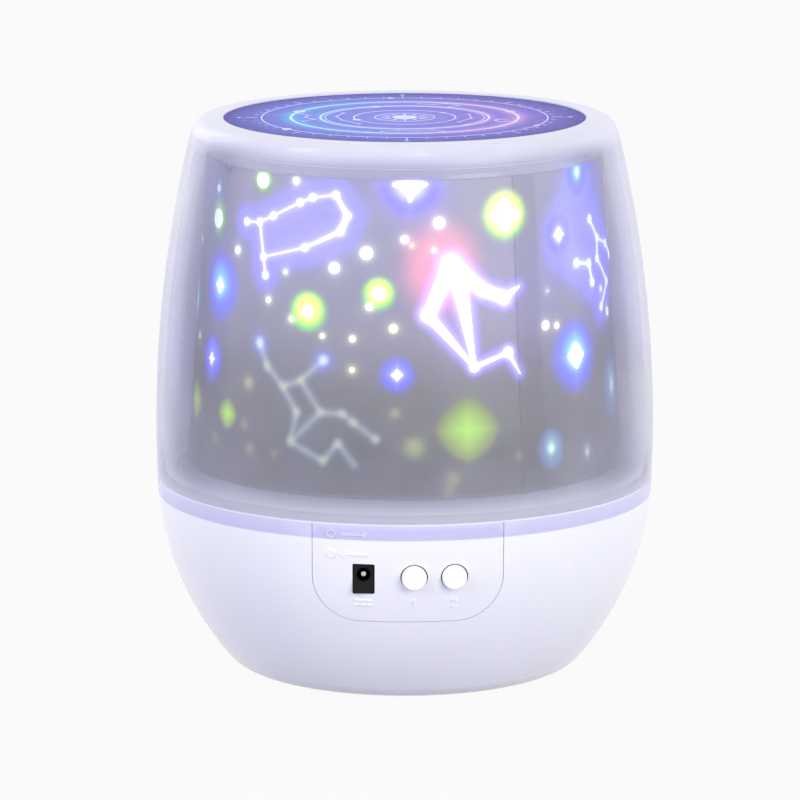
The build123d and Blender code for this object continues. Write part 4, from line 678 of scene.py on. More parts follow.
# lines are (first point, second point) or (first, second, width there, width here); widths in mm
figures = {
    "ladle": {
        "points": [(-50, 120.5), (-44.5, 121), (-39.5, 123), (-30.5, 127), (-26.5, 128.5), (-19.5, 129.5),
                   (-16, 124.5), (-18, 120.5), (-28.5, 116), (-42.5, 112.5), (-41.5, 108)],
        "lines": [(0, 1), (1, 2), (2, 3), (3, 4), (4, 5), (5, 6, 0.9, 1.2), (6, 7, 1.5, 1.7),
                  (7, 8, 1.1, 0.6), (8, 9), (9, 10), (1, 9)],
        "width": 0.38, "node": 1.0, "core": "#ffffff", "edge": "#a9a4f4", "halo": "#5248f2", "haloMm": 4.3,
        "strength": 0.85,
    },
    "runner": {
        "points": [(-42.5, 91), (-39.5, 85.5), (-34, 81), (-29.5, 75), (-31, 67.5), (-21.5, 63.5),
                   (-17.5, 68), (-13, 63), (-28.5, 83), (-22, 88.5), (-22.5, 75.5), (-16.5, 75.5),
                   (-13.5, 73.5), (-7.5, 69.5)],
        "lines": [(0, 1), (1, 2), (2, 3), (3, 4), (4, 5), (5, 6), (6, 7), (2, 8), (8, 9), (8, 10), (10, 4),
                  (10, 11), (11, 12), (12, 13)],
        "width": 0.3, "nodes": [1] * 7 + [0.1] + [0.9] * 6, "edge": "#b8bc84", "halo": "#40608c",
        "haloMm": 1.4, "strength": 0.56, "soft": True,
    },
    "archer": {
        "points": [(12.8, 112.5), (21.5, 106), (28, 103.6), (32.5, 106), (6.3, 100.3), (18.7, 87),
                   (15, 108), (28.6, 90), (32, 84.5)],
        "lines": [(0, 1, 4.8, 3.2), (1, 2, 3.2, 3.2), (2, 3, 2.4, 0.6), (0, 4, 4.8, 3.0), (4, 5, 2.6, 0.9),
                  (6, 5, 4.2, 0.9), (5, 7, 1.2, 0.8), (7, 8, 1.1, 0.3)],
        "nodes": [2.7, 1.6, 1.6, 0.3, 1.9, 1.3, 2.4, 1.4, 0.2], "core": "#ffffff", "edge": "#d4b0f0",
        "halo": "#6058f4", "haloMm": 2.0, "strength": 0.7,
    },
    "kite": {
        "points": [(64.5, 119.5), (69.5, 114), (78, 111.5), (85, 107.5), (55.5, 109.5), (62.5, 108.5),
                   (64, 103.5), (68.5, 109), (76.5, 102), (69.5, 96.5)],
        "lines": [(0, 1), (1, 2), (2, 3), (4, 5), (5, 6), (1, 7), (7, 8), (8, 9)],
        "width": 0.6, "node": 1.1, "core": "#f4fbff", "edge": "#a9d0f4", "halo": "#5248f2", "haloMm": 5.0,
        "strength": 0.9,
    },
    "arrow": {
        "points": [(104, 86), (112, 94), (121, 99), (131, 97), (126, 107), (140, 111)],
        "lines": [(0, 1), (1, 2), (2, 3), (2, 4), (4, 5)],
        "width": 0.6, "node": 1.1, "core": "#ffffff", "edge": "#a9a4f4", "halo": "#5248f2", "haloMm": 4.0,
        "strength": 0.8,
    },
    "swan": {
        "points": [(150, 72), (158, 80), (166, 88), (175, 96), (184, 105), (157, 92), (176, 82)],
        "lines": [(0, 1, 1.0, 1.6), (1, 2, 1.6, 2.4), (2, 3, 2.4, 1.6), (3, 4, 1.6, 0.6), (5, 2, 0.6, 2.0),
                  (2, 6, 2.0, 0.6)],
        "node": 1.3, "core": "#ffffff", "edge": "#cf9af4", "halo": "#6a50e8", "haloMm": 4.0,
        "strength": 0.8,
    },
    "sickle": {
        "points": [(196, 124), (203, 118), (211, 117), (217, 111), (212, 103), (203, 100)],
        "lines": [(0, 1), (1, 2), (2, 3), (3, 4), (4, 5)],
        "width": 0.5, "node": 1.15, "core": "#ffffff", "edge": "#a9a4f4", "halo": "#5248f2", "haloMm": 4.4,
        "strength": 0.9,
    },
    "crown": {
        "points": [(233, 78), (238, 71), (246, 67), (255, 69), (261, 76), (263, 84)],
        "lines": [(0, 1), (1, 2), (2, 3), (3, 4), (4, 5)],
        "width": 0.3, "node": 0.9, "edge": "#97a88f", "halo": "#34577f", "haloMm": 2.0,
        "strength": 0.5, "soft": True,
    },
}

# light colours of a glowing star, outside to inside, and how much of the halo its ring takes
palettes = {
    "lime": {"halo": "#74ff2c", "ring": "#f4e400", "core": "#ffffff", "share": 0.76},
    "sun": {"halo": "#a0ff34", "ring": "#ffee30", "core": "#ffffff", "share": 0.84},
    "green": {"halo": "#4c8c28", "ring": "#8cc850", "core": "#f4ffe4", "share": 0.7},
    "blue": {"halo": "#5050f8", "ring": "#5c70e8", "core": "#f0f4ff", "share": 0.6},
    "cyan": {"halo": "#5050fc", "ring": "#3cd0f0", "core": "#ffffff", "share": 0.5},
    "violet": {"halo": "#6048e4", "ring": "#8c50e0", "core": "#fff4ff", "share": 0.7},
    "pale": {"halo": "#3c5068", "ring": "#6c7c54", "core": "#98a874", "share": 0.5},
    "leaf": {"halo": "#4474b4", "ring": "#789c6c", "core": "#b8d89c", "share": 0.5},
    "olive": {"halo": "#788200", "ring": "#74b400", "core": "#8cd000"},
}
# bearing, height, halo radius, palette, core reach (0: no window), waist of the core, rise of the halo
glowStars = [
    (29, 124, 6.0, "sun", 4.4, 0.56, 1.0), (1.5, 132.5, 7.4, "blue", 4.5, 0.36, 1.0),
    (-44, 131.5, 3.6, "green", 2.0, None, 1.0), (-27, 100.3, 4.9, "lime", 1.6, None, 1.0),
    (-7, 105.6, 4.0, "lime", 1.75, None, 1.0), (-2, 85.5, 4.3, "blue", 1.5, 0.6, 1.0),
    (16.7, 71.5, 7.9, "olive", 0, None, 1.0), (53, 86.5, 9.0, "cyan", 3.4, 0.74, 1.0),
    (48, 117.5, 4.4, "blue", 1.9, 0.6, 1.1), (58.5, 132, 4.6, "cyan", 0, None, 1.3),
    (75, 75.5, 7.0, "leaf", 0, None, 1.2), (41.5, 64.5, 4.2, "leaf", 0, None, 1.2),
    (56, 61.5, 3.0, "pale", 0, None, 1.2), (-65.5, 119.5, 4.8, "green", 2.4, None, 1.1),
    (-62, 103, 8.6, "cyan", 2.0, 0.5, 1.0), (-64.5, 84, 5.4, "blue", 1.6, 0.5, 1.1),
    (-75, 71.5, 5.0, "olive", 0, None, 0.95), (-54.5, 71.5, 4.0, "olive", 0, None, 0.95),
    (-60.5, 134, 2.4, "pale", 0, None, 1.0), (-66.5, 127, 3.0, "leaf", 0.9, None, 1.2),
    (-84, 96, 5.0, "leaf", 0, None, 2.0), (-98, 118, 5.6, "sun", 3.4, 0.55, 1.0),
    (-108, 76, 7.0, "violet", 3.2, 0.5, 1.0), (-121, 102, 5.0, "blue", 1.8, 0.55, 1.0),
    (-134, 128, 5.0, "lime", 2.0, None, 1.0), (-147, 84, 6.8, "cyan", 3.2, 0.6, 1.0),
    (-160, 110, 5.0, "blue", 1.8, 0.55, 1.0), (-169, 64, 4.6, "green", 1.7, None, 1.0),
    (94, 126, 5.4, "violet", 2.4, 0.5, 1.0), (98, 68, 7.0, "olive", 0, None, 1.0),
    (118, 120, 4.6, "lime", 1.9, None, 1.0), (134, 78, 5.6, "blue", 2.1, 0.55, 1.0),
    (147, 124, 6.4, "cyan", 3.0, 0.6, 1.0), (164, 113, 4.4, "lime", 1.8, None, 1.0),
    (186, 84, 5.4, "sun", 3.6, 0.52, 1.0),
]
# plain dots: bearing, height, radius mm, colour, how much is left as a clear window
dots = [
    (-10.5, 115.5, 1.65, "#ffffff", 1.0), (-19.5, 111.5, 1.45, "#f6f8ff", 1.0),
    (0, 119, 1.1, "#fff4f4", 0.9), (-53.5, 113, 1.2, "#f4fffb", 0.8),
    (-32, 132.3, 1.1, "#ffffff", 0.8), (9.5, 123, 1.45, "#ffffff", 1.0),
    (2, 117.5, 0.8, "#f4c060", 0.5), (8, 116.3, 0.9, "#f4dc8a", 0.6), (-34.5, 109.5, 1.0, "#c8d8a0", 0.6),
    (-40, 102, 1.1, "#dcec9a", 0.7), (-32, 98, 1.1, "#e4f8a0", 0.6), (-9.5, 102.3, 1.2, "#f0f8c0", 0.8),
    (-3, 97, 1.2, "#f4f0a8", 0.9), (-14, 94.2, 1.0, "#e8f0a0", 0.8), (-22.5, 94.5, 0.9, "#dcec9a", 0.7),
    (-14, 86.5, 1.2, "#c4cc88", 0.6), (-46, 80.5, 1.4, "#a8ac68", 0), (-2.5, 76, 1.2, "#8c9458", 0),
    (2.5, 67.5, 2.2, "#a4b060", 0), (-44.5, 64, 1.4, "#7c8050", 0), (12.5, 59.5, 1.5, "#848844", 0),
    (31, 64, 1.1, "#70703c", 0), (-36, 64, 1.0, "#6c7048", 0), (41.3, 95.5, 1.2, "#fcfcd0", 1.0),
    (45.5, 95, 1.0, "#e8ecc0", 0.8), (75, 94.5, 1.4, "#f4f4c8", 0.8), (-60, 64.5, 1.4, "#7c8050", 0),
    (-47, 70, 1.3, "#70744c", 0), (42.5, 104, 0.9, "#a8a0a8", 0.3), (11.5, 56.5, 1.3, "#70743c", 0),
    (70, 101, 1.2, "#e8ecc0", 0.6), (-82, 112, 1.6, "#a8c0a0", 0.4), (-76, 88, 1.6, "#b0c8a0", 0.4),
]
# wide washes of lamp colour: bearing, height, reach across, reach up (mm), colour, strength, edge sharpness
washes = [
    (10.0, 112, 9.0, 10.5, "#fc6070", 0.8, 4), (-32, 118.5, 13, 7, "#5248f2", 0.7, 4),
    (62, 120, 12, 18, "#4840f4", 1.1, 4), (49, 116.5, 7, 9, "#4840f4", 0.8, 4),
    (2, 133, 10, 10, "#5838e0", 0.6, 3), (20, 100, 15, 13, "#a078c0", 0.18, 2),
    (39, 103, 9, 14, "#5850e0", 0.2, 2), (-63, 100, 8, 18, "#3c50c0", 0.2, 2),
    (-17, 100, 24, 22, "#8080a0", 0.10, 2), (70, 106, 8, 14, "#4840f0", 0.7, 3),
    (60, 130, 6, 8, "#3c78f0", 0.5, 3), (86, 104, 7, 22, "#4840d0", 0.35, 2),
    (120, 96, 16, 16, "#5848e0", 0.4, 3), (167, 90, 16, 14, "#5848f0", 0.4, 3),
    (-150, 110, 18, 14, "#4848f0", 0.5, 3), (-104, 92, 14, 16, "#3c60d0", 0.35, 3),
    (-72, 126, 7, 12, "#8080e8", 0.35, 2),
]
# dots on the side that faces away, strewn by a seeded draw
strewn = np.random.default_rng(7)
strewnTints = ("#ffffff", "#e8f08a", "#f4dc8a", "#cfe0ff")
for draw in range(46):
    bearing, height, radius = (strewn.uniform(*span) for span in ((92, 268), (60, 130), (0.8, 1.4)))
    dots.append((bearing - 360 * (bearing > 180), height, radius, strewnTints[draw % 4], 0.8))


# glow of a figure's lines: reach of the edge in mm, and shares of light in the edge and the nodes
lineGlow = {"clear": (0.75, 0.9, 0.7), "soft": (0.55, 0.62, 0.4)}
# a big dim star: blunt points, sharp edge, light kept from the ground, inner reach, rays in mm, their reach
dimStar = {"blunt": 0.12, "edge": 16, "groundLoss": 0.95, "inner": 0.72, "rayMm": 1.3, "rayReach": 0.5}
# the other stars: halo, ring and core of light, with the share of ground light lost under them
glowStar = {
    "haloEdge": 7, "groundLoss": 0.7, "ringLift": 0.1, "ringShare": 1.1, "rayShare": 0.8, "coreShare": 0.9,
}
# glow round a dot: reach in radii, sharpness of the edge, share of light
dotGlow = ((1.15, 3, 0.55), (1.9, 2, 0.15))
# bluer light at the runner's two bright ends: reach in mm, colour, share
runnerGlow = ((3.0, "#4858f0", 0.5), (1.3, "#a8b8e0", 0.6))


def nodeSizes(figure):
    return figure["nodes"] if "nodes" in figure else [figure["node"]] * len(figure["points"])


def filmGlow(bearings, heights):
    # painted lamp light through each part of the print, given as an emission colour on the film; bearings in
    # degrees and heights in mm, as arrays
    # the fourth value is the share of ground light that is left
    glow, shares = np.zeros((len(bearings), 3)), np.ones(len(bearings))
    perMm = np.degrees(mm / filmRadius(heights * mm))

    def across(bearing):
        return ((bearings - bearing + 180) % 360 - 180) / perMm

    def add(level, colour, strength):
        glow[:] += level[:, None] * (np.array(toLinear(colour)[:3]) * strength)

    for bearing, height, reachAcross, reachUp, colour, strength, sharpness in washes:
        add(softSpot(across(bearing), heights - height, reachAcross, reachUp, sharpness), colour, strength)
    for bearing, height, reach, palette, core, waist, rise in glowStars:
        dx, dy = across(bearing), (heights - height) / rise
        tones = palettes[palette]
        if palette == "olive":
            thin = np.minimum(np.abs(dx), np.abs(dy))
            outline = np.hypot(dx, dy) + dimStar["blunt"] * thin
            body = np.exp(-(outline / reach) ** dimStar["edge"])
            shares *= 1 - dimStar["groundLoss"] * body
            add(body, tones["halo"], 1.0)
            add(np.exp(-(outline / (reach * dimStar["inner"])) ** 3), tones["ring"], 1.0)
            rays = np.exp(-thin / dimStar["rayMm"] - outline / (reach * dimStar["rayReach"]))
            add(rays, tones["core"], 0.5)
            continue
        halo = softSpot(dx, dy, reach, reach, glowStar["haloEdge"])
        shares *= 1 - glowStar["groundLoss"] * halo
        add(halo, tones["halo"], 1.0)
        ring, bright = reach * tones["share"], max(core, reach * 0.3) * 0.8
        sharpness = 6 if tones["share"] > 0.7 else 3
        lifted = dy - reach * glowStar["ringLift"]
        add(softSpot(dx, lifted, ring, ring, sharpness), tones["ring"], glowStar["ringShare"])
        rays = np.exp(-((np.sqrt(np.abs(dx)) + np.sqrt(np.abs(dy))) ** 2) / (max(core, 1.0) * 1.2))
        add(rays * softSpot(dx, dy, reach, reach), tones["core"], glowStar["rayShare"])
        add(softSpot(dx, dy, bright, bright, 3), tones["core"], glowStar["coreShare"])
    for bearing, height, radius, colour, _ in dots:
        for spread, sharpness, strength in dotGlow:
            reach = radius * spread
            add(softSpot(across(bearing), heights - height, reach, reach, sharpness), colour, strength)
    for figure in figures.values():
        edgeMm, edgeShare, nodeShare = lineGlow["soft" if figure.get("soft") else "clear"]
        nearest = np.full(len(bearings), 1e3)
        points = figure["points"]
        for first, second, *widths in figure["lines"]:
            (fromBearing, fromHeight), (toBearing, toHeight) = points[first], points[second]
            run = (toBearing - fromBearing) / perMm, toHeight - fromHeight
            distance, along = nearLine(across(fromBearing), heights - fromHeight, *run)
            fromWidth, toWidth = widths or [figure["width"]] * 2
            width = fromWidth + (toWidth - fromWidth) * along
            nearest = np.minimum(nearest, np.maximum(distance - width / 2, 0))
        add(np.exp(-(nearest / figure["haloMm"]) ** 3.5), figure["halo"], figure["strength"])
        add(np.exp(-(nearest / edgeMm) ** 1.5), figure["edge"], figure["strength"] * edgeShare)
        for (bearing, height), size in zip(points, nodeSizes(figure)):
            spot = softSpot(across(bearing), heights - height, size * 1.4, size * 1.4, 3)
            add(spot, figure["edge"], nodeShare)
    # the two brighter ends of the runner
    for end in (0, 9):
        bearing, height = figures["runner"]["points"][end]
        for reach, colour, strength in runnerGlow:
            add(softSpot(across(bearing), heights - height, reach, reach, 3), colour, strength)
    # where the sheet laps beyond its seam, part of the light is lost
    beyond = bearings - filmLook["seamBearing"] - filmLook["lapMiddle"]
    lap = 1 - filmLook["lapLoss"] * np.exp(-(beyond / filmLook["lapHalf"]) ** 8)
    return np.hstack([glow * lap[:, None], (shares * lap)[:, None]])


def makeSideFilm(look):
    columns, rows = look["columns"], look["rows"]
    turns = np.arange(columns + 1) / columns
    bearings = look["seamBearing"] + look["seamGap"] / 2 + (360 - look["seamGap"]) * turns
    heights = filmLow + (filmHigh - filmLow) * np.arange(rows + 1) / rows
    profile = [(filmRadius(h), h) for h in heights]
    profile += [(filmRadius(h) - look["thickness"], h) for h in (filmHigh, filmLow)]
    radii, levels = (np.array(values) for values in zip(*profile))
    angle = np.radians(bearings)[:, None]
    count = len(profile)
    vertices = np.stack([
        radii * np.sin(angle), -radii * np.cos(angle), np.broadcast_to(levels, (columns + 1, count)),
    ], axis=-1).reshape(-1, 3)
    faces = []
    for column in range(columns):
        start = column * count
        for row in range(count):
            following = (row + 1) % count
            faces.append((start + row, start + count + row, start + count + following, start + following))
    faces.append(tuple(reversed(range(count))))
    faces.append(tuple(columns * count + row for row in range(count)))
    finish = finishes["printed_film"]
    film = addPiece("side_film_sheet", vertices, faces, finish, "turntable")
    folded = (np.repeat(bearings, count) - look["turn"] + 180) % 360 - 180
    paint(film, "glow", filmGlow(folded, np.tile(levels, columns + 1) / mm))
    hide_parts("side_film")
    return film


sideFilm = makeSideFilm(filmLook)
print("side film printed:", len(sideFilm.data.polygons), "faces")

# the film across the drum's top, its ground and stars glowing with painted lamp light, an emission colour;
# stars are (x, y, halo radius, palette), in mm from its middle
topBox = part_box("top_film")
topLook = {
    "rings": 90, "segments": 240, "ground": "#76748a",
    "stars": [
        (-22, 13, 6.0, "cyan"), (19, 17, 5.2, "lime"), (3, -22, 6.6, "blue"), (-25, -14, 4.8, "sun"),
        (27, -9, 4.6, "violet"), (-3, 24, 4.4, "green"), (0, 1, 5.6, "violet"), (-11, -4, 3.2, "lime"),
        (13, -5, 3.4, "cyan"),
    ],
    # dots in three loose rings
    "dots": 27, "dotRadii": [33 * (0.45 + 0.5 * ring / 2) for ring in range(3)], "dotTurn": 0.7,
    "dotReach": 1.1, "dotLight": (0.9, 0.9, 0.7, 0),
}


def makeTopFilm(look):
    radiusMm = topBox[1].x / mm
    vertices, faces = makeDisc(radiusMm, look["rings"], look["segments"], topBox[1].z, topBox[0].z)
    finish = finishes["printed_film"]
    film = addPiece("top_film_sheet", vertices, faces, finish, "turntable", smooth=False)
    x, y = (np.array(vertices)[:, axis] / mm for axis in (0, 1))
    glow = np.zeros((len(vertices), 4))
    # painted light: the whole ground glows faintly, standing in for the lamps' light shining up through it
    glow[:] = toLinear(look["ground"])
    for starX, starY, reach, palette in look["stars"]:
        for part, share, sharpness in (("halo", 1.0, 5), ("ring", 0.66, 4), ("core", 0.36, 3)):
            spot = softSpot(x - starX, y - starY, reach * share, reach * share, sharpness)
            glow += spot[:, None] * np.array(toLinear(palettes[palette][part])) * (1, 1, 1, 0)
    for dot in range(look["dots"]):
        radius, angle, reach = look["dotRadii"][dot % 3], look["dotTurn"] * dot, look["dotReach"]
        spot = softSpot(x - radius * math.cos(angle), y - radius * math.sin(angle), reach, reach, 3)
        glow += spot[:, None] * look["dotLight"]
    paint(film, "glow", glow)
    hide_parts("top_film")


makeTopFilm(topLook)
print("top film printed")

# clear windows in the print, a little raised: lines and stars at two levels, so that they don't meet
filmCeiling = filmHigh / mm - 0.4
windowLift, windowDepth = filmLook["windowLift"], filmLook["windowDepth"]
filmLines = SurfaceMarks(onFilm, filmPerMm, windowLift, windowDepth)
filmStars = SurfaceMarks(onFilm, filmPerMm, windowLift + 0.02 * mm, windowDepth)
for figure in figures.values():
    if figure.get("soft"):
        continue
    colour, points = toLinear(figure["core"]), figure["points"]
    for first, second, *widths in figure["lines"]:
        filmLines.addLine(points[first], points[second], widths or [figure["width"]] * 2, colour)
    for (bearing, height), size in zip(points, nodeSizes(figure)):
        filmStars.addStar(bearing, height, size, colour)
for bearing, height, _, palette, core, waist, _ in glowStars:
    if core:
        colour = toLinear(palettes[palette]["core"])
        filmStars.addStar(bearing, height, core, colour, 48, waist, filmCeiling)
for bearing, height, radius, colour, window in dots:
    if window:
        filmStars.addStar(bearing, height, radius * window, toLinear(colour))
filmLines.build("film_line_windows", windowInk, "turntable", "glow")
filmStars.build("film_star_windows", windowInk, "turntable", "glow")
print("star windows ready")


# the label: a sky dial of the script's own drawing; places are (x, y) or (radius, bearing), in mm and degrees

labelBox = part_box("top_label")
labelLook = {
    "rings": 64, "segments": 216, "lift": 0.03 * mm, "depth": 0.05 * mm,
    "edge": "#3c3a94", "field": "#6e7adc", "right": "#7e6cce", "cyan": "#40b8ea", "pink": "#e49ce4",
    "glowRings": [(29.0, 2.2, 1.0), (21.5, 1.6, 0.7)],  # radius, reach, strength
    "sideReach": 9.0, "fadeFrom": 0.55, "fadeCurve": 1.6, "middleReach": 9.0, "middleLight": 0.12,
    "lineRings": [(36.5, 0.35), (29, 0.8), (21.5, 0.6), (20.3, 0.25), (13, 0.4), (7.6, 0.3)],  # radius, width
    # hour ticks round the dial, every sixth one longer, with a bead at each quarter
    "ticks": 48, "tickFoot": 37.4, "tickHeads": (40.4, 38.6), "bead": (42.2, 0.8),
    "sun": 3.2, "rays": 12, "ray": (4.2, 6.6),
    "planets": [  # radius of the ring, bearing, size
        (13, 200, 1.1), (13, 40, 0.7), (21, 110, 1.3), (21, 318, 0.9), (29, 158, 1.6), (29, 20, 1.2),
        (29, 250, 0.9), (36.5, 95, 1.0), (36.5, 215, 1.2), (36.5, 335, 0.8),
    ],
    "chains": [
        [(-27, 7), (-24.5, 4), (-25.5, 0), (-23, -3.5), (-26, -7)],
        [(4, 25), (8, 23.5), (11, 25.5), (14.5, 22), (12, 19.5)],
        [(-6, -25.5), (-2, -23.5), (2.5, -25), (6.5, -23), (9.5, -25.5)],
        [(-15.5, 8), (-17.5, 2), (-16, -5), (-11.5, -12)],
        [(16.5, 5), (17, -2), (13.5, -9)],
    ],
}


def labelInkAt(x, y, look):
    # print colours at places on the label, in mm from its middle, x to the right and y to the back
    radius = np.hypot(x, y)
    share = radius / (labelBox[1].x / mm)
    tones = {tone: np.array(toLinear(look[tone])[:3]) for tone in ("edge", "field", "right", "cyan", "pink")}
    rightness = 1 / (1 + np.exp(-x / look["sideReach"]))
    ink = tones["field"] + (tones["right"] - tones["field"]) * rightness[:, None]
    fade = np.clip((share - look["fadeFrom"]) / (1 - look["fadeFrom"]), 0, 1) ** look["fadeCurve"]
    ink = ink + (tones["edge"] - ink) * fade[:, None]
    for ring, reach, strength in look["glowRings"]:
        line = np.exp(-((radius - ring) / reach) ** 2) * strength
        ink = ink + (tones["cyan"] - ink) * (line * (1 - rightness) * 0.9)[:, None]
        ink = ink + (tones["pink"] - ink) * (line * rightness * 0.6)[:, None]
    middle = np.exp(-(radius / look["middleReach"]) ** 2) * look["middleLight"]
    return ink + (1 - ink) * middle[:, None]


def atBearing(radius, bearing):
    angle = math.radians(bearing)
    return radius * math.cos(angle), radius * math.sin(angle)


def makeLabel(look):
    radiusMm, top = labelBox[1].x / mm, labelBox[1].z
    vertices, faces = makeDisc(radiusMm, look["rings"], look["segments"], top, labelBox[0].z)
    finish = finishes["label_print"]
    label = addPiece("top_label_print", vertices, faces, finish, "cover", smooth=False)
    flat = np.array(vertices)[:, :2] / mm
    ink = labelInkAt(flat[:, 0], flat[:, 1], look)
    paint(label, "ink", np.hstack([ink, np.ones((len(ink), 1))]))
    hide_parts("top_label")

    def onLabel(x, y, lift):
        return Vector((x * mm, y * mm, top + lift))

    art = SurfaceMarks(onLabel, lambda x, y: (1.0, 1.0), look["lift"], look["depth"])
    for radius, width in look["lineRings"]:
        art.addRing((0, 0), radius, width, white)
    for tick in range(look["ticks"]):
        bearing = 360 / look["ticks"] * tick
        head = look["tickHeads"][0 if tick % 6 == 0 else 1]
        art.addLine(atBearing(look["tickFoot"], bearing), atBearing(head, bearing), (0.35, 0.25), white)
        if tick % 12 == 0:
            radius, size = look["bead"]
            art.addStar(*atBearing(radius, bearing), size, white, 24, 0.35)
    art.addStar(0, 0, look["sun"], white, 32)
    for ray in range(look["rays"]):
        foot, head = (atBearing(radius, 360 / look["rays"] * ray) for radius in look["ray"])
        art.addLine(foot, head, (0.9, 0.1), white)
    for radius, bearing, size in look["planets"]:
        art.addStar(*atBearing(radius, bearing), size, white, 24)
    # a crescent
    art.addRing((25, -6), 2.2, 0.5, white, 60, 320)
    # small stick figures between the rings
    for chain in look["chains"]:
        for first, second in zip(chain, chain[1:]):
            art.addLine(first, second, (0.3, 0.3), white)
        for x, y in chain:
            art.addStar(x, y, 0.65, white, 24, 0.4)
    art.build("top_label_lines", labelInk, "cover")


makeLabel(labelLook)
print("label drawn")


# raised marks on the front panel, moulded with it; places are (x, z) seen from the front, in mm

panelLook = {
    "lift": 0.22 * mm, "depth": 0.5 * mm, "width": 0.5,
    # direct current, under the inlet: a line over three dashes
    "lineEnds": (-13.2, -8.8), "lineHeight": 29.8, "dashes": (-13.2, -11.55, -9.9), "dashMm": 1.1,
    "dashHeight": 28.6,
    # one and two, under the buttons
    "one": [(1.0, 29.6), (1.6, 30.2), (1.6, 28.0)],
    "two": [(10.8, 29.7), (11.5, 30.2), (12.2, 29.6), (10.8, 28.0), (12.3, 28.0)],
    # turn marks for the cover: an arrow each way, with an open and a closed ring
    "arrowEnds": (-16.6, -10.2), "openHeight": 47.1, "closeHeight": 42.0, "barb": (1.2, 0.9),
    "ringX": -19.0, "openRing": (1.0, 0.45), "closedRing": 1.15,
}
panelMesh = nodes["control_panel"].data
panelTree = BVHTree.FromPolygons(
    [vertex.co for vertex in panelMesh.vertices], [face.vertices for face in panelMesh.polygons]
)


def onPanel(x, z, lift):
    # the panel's face behind a place; lift runs along the face's normal
    hit, normal, _, _ = panelTree.ray_cast(Vector((x * mm, -0.2, z * mm)), Vector((0, 1, 0)))
    return hit + normal * lift


def panelStrokes(look):
    # every mark as a chain of points
    left, right = look["lineEnds"]
    chains = [[(left, look["lineHeight"]), (right, look["lineHeight"])]]
    chains += [[(x, look["dashHeight"]), (x + look["dashMm"], look["dashHeight"])] for x in look["dashes"]]
    chains += [look["one"], look["two"]]
    back, up = look["barb"]
    for level, ends in (
        (look["openHeight"], look["arrowEnds"]), (look["closeHeight"], look["arrowEnds"][::-1]),
    ):
        tail, tip = ends
        inward = tip - math.copysign(back, tip - tail)
        chains += [[(tail, level), (tip, level)]]
        chains += [[(tip, level), (inward, level + side * up)] for side in (1, -1)]
    return chains


def makePanelMarks(look):
    marks = SurfaceMarks(onPanel, lambda x, z: (1.0, 1.0), look["lift"], look["depth"])
    for chain in panelStrokes(look):
        for first, second in zip(chain, chain[1:]):
            marks.addLine(first, second, [look["width"]] * 2, white)
    marks.addRing((look["ringX"], look["openHeight"]), *look["openRing"], white)
    marks.addStar(look["ringX"], look["closeHeight"], look["closedRing"], white, 20)
    marks.build("panel_marks", finishes["white_abs"], "base")


makePanelMarks(panelLook)
print("panel marks ready")


# floor, lamps and camera

floorLook = {"half": 6.0, "paper": "#9a9aaa", "shown": 0.94}
roomLight = 0.55


def whereSeen(tree):
    # 1 for what the camera sees, directly, in a reflection or through something clear
    seen = addNode(tree, "LightPath", give="Is Camera Ray")
    rays = seen.node.outputs
    for ray in ("Is Glossy Ray", "Is Transmission Ray"):
        seen = addNode(tree, "Math", [seen, rays[ray]], operation="MAXIMUM")
    return seen


def makeFloor(look):
    mesh = bpy.data.meshes.new("floor")
    corners = [(-1, -1), (1, -1), (1, 1), (-1, 1)]
    mesh.from_pydata([(x * look["half"], y * look["half"], 0) for x, y in corners], [], [(0, 1, 2, 3)])
    floor = bpy.data.objects.new("floor", mesh)
    scene.collection.objects.link(floor)
    material, tree, _ = newMaterial("whitePaperSweep")
    share = addNode(tree, "Math", [whereSeen(tree), look["shown"]], operation="MULTIPLY")
    paper = addNode(tree, "BsdfDiffuse", [toLinear(look["paper"])])
    top = addNode(tree, "MixShader", [share, paper, addNode(tree, "Emission", [white, 1.0])])
    # the sheet has only its upper side, so that the lamp's underside can be looked at
    below = addNode(tree, "NewGeometry", give="Backfacing")
    clear = addNode(tree, "BsdfTransparent")
    addNode(tree, "OutputMaterial", [addNode(tree, "MixShader", [below, top, clear])])
    mesh.materials.append(material)


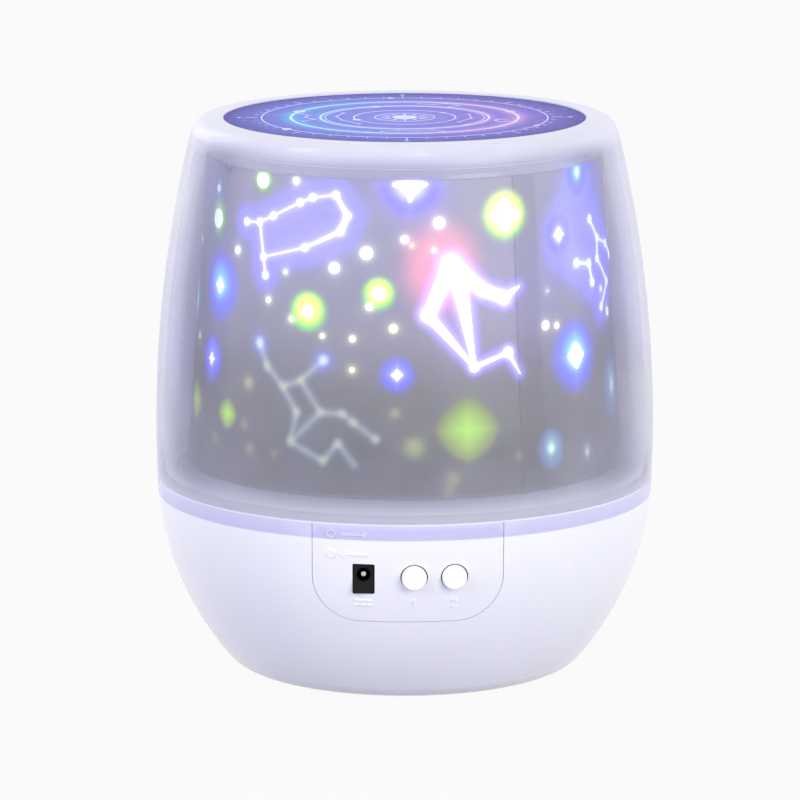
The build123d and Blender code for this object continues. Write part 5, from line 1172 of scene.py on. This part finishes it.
def makeWorld(light):
    world = bpy.data.worlds.new("studio")
    scene.world = world
    world.use_nodes = True
    tree = world.node_tree
    tree.nodes.clear()
    strength = addNode(tree, "MapRange", [whereSeen(tree), 0.0, 1.0, light, 1.0])
    addNode(tree, "OutputWorld", [addNode(tree, "Background", [white, strength])])


lampLooks = {
    "keyLamp": {"place": (0.72, -0.9, 0.42), "size": 0.7, "power": 8.5, "tint": "#ffffff"},
    "fillLamp": {"place": (-0.9, -0.6, 0.6), "size": 0.9, "power": 8.0, "tint": "#f2f2ff"},
    "topLamp": {"place": (-0.15, -0.35, 1.1), "size": 0.8, "power": 1.2, "tint": "#ffffff"},
    "backLamp": {"place": (-0.85, 0.85, 0.55), "size": 0.8, "power": 4.0, "tint": "#ffffff"},
    "rightLamp": {"place": (1.0, 0.55, 0.4), "size": 0.8, "power": 2.6, "tint": "#ffffff"},
}
lookAt = Vector((0, 0, 0.07))


def aim(thing, place, target):
    thing.location = place
    thing.rotation_euler = (Vector(target) - Vector(place)).to_track_quat("-Z", "Y").to_euler()


for lampName, look in lampLooks.items():
    data = bpy.data.lights.new(lampName, "AREA")
    data.energy, data.size, data.color = look["power"], look["size"], toLinear(look["tint"])[:3]
    lamp = bpy.data.objects.new(lampName, data)
    scene.collection.objects.link(lamp)
    aim(lamp, look["place"], lookAt)
makeFloor(floorLook)
makeWorld(roomLight)

cameraLook = {
    "distance": 1.275, "height": 0.3193, "turn": 0.8, "target": (-0.0012, 0, 0.0687),
    "lensMm": 226.9, "sensorMm": 36.0,
}
away, turn = cameraLook["distance"], math.radians(cameraLook["turn"])
cameraPlace = (-away * math.sin(turn), -away * math.cos(turn), cameraLook["height"])
cameraData = bpy.data.cameras.new("camera")
cameraData.lens, cameraData.sensor_width = cameraLook["lensMm"], cameraLook["sensorMm"]
camera = bpy.data.objects.new("camera", cameraData)
scene.collection.objects.link(camera)
aim(camera, cameraPlace, cameraLook["target"])
scene.camera = camera
scene.view_settings.view_transform = "Standard"
scene.cycles.transparent_max_bounces = 32  # a ray can pass the cover, the film and the drum twice

print("scene ready")
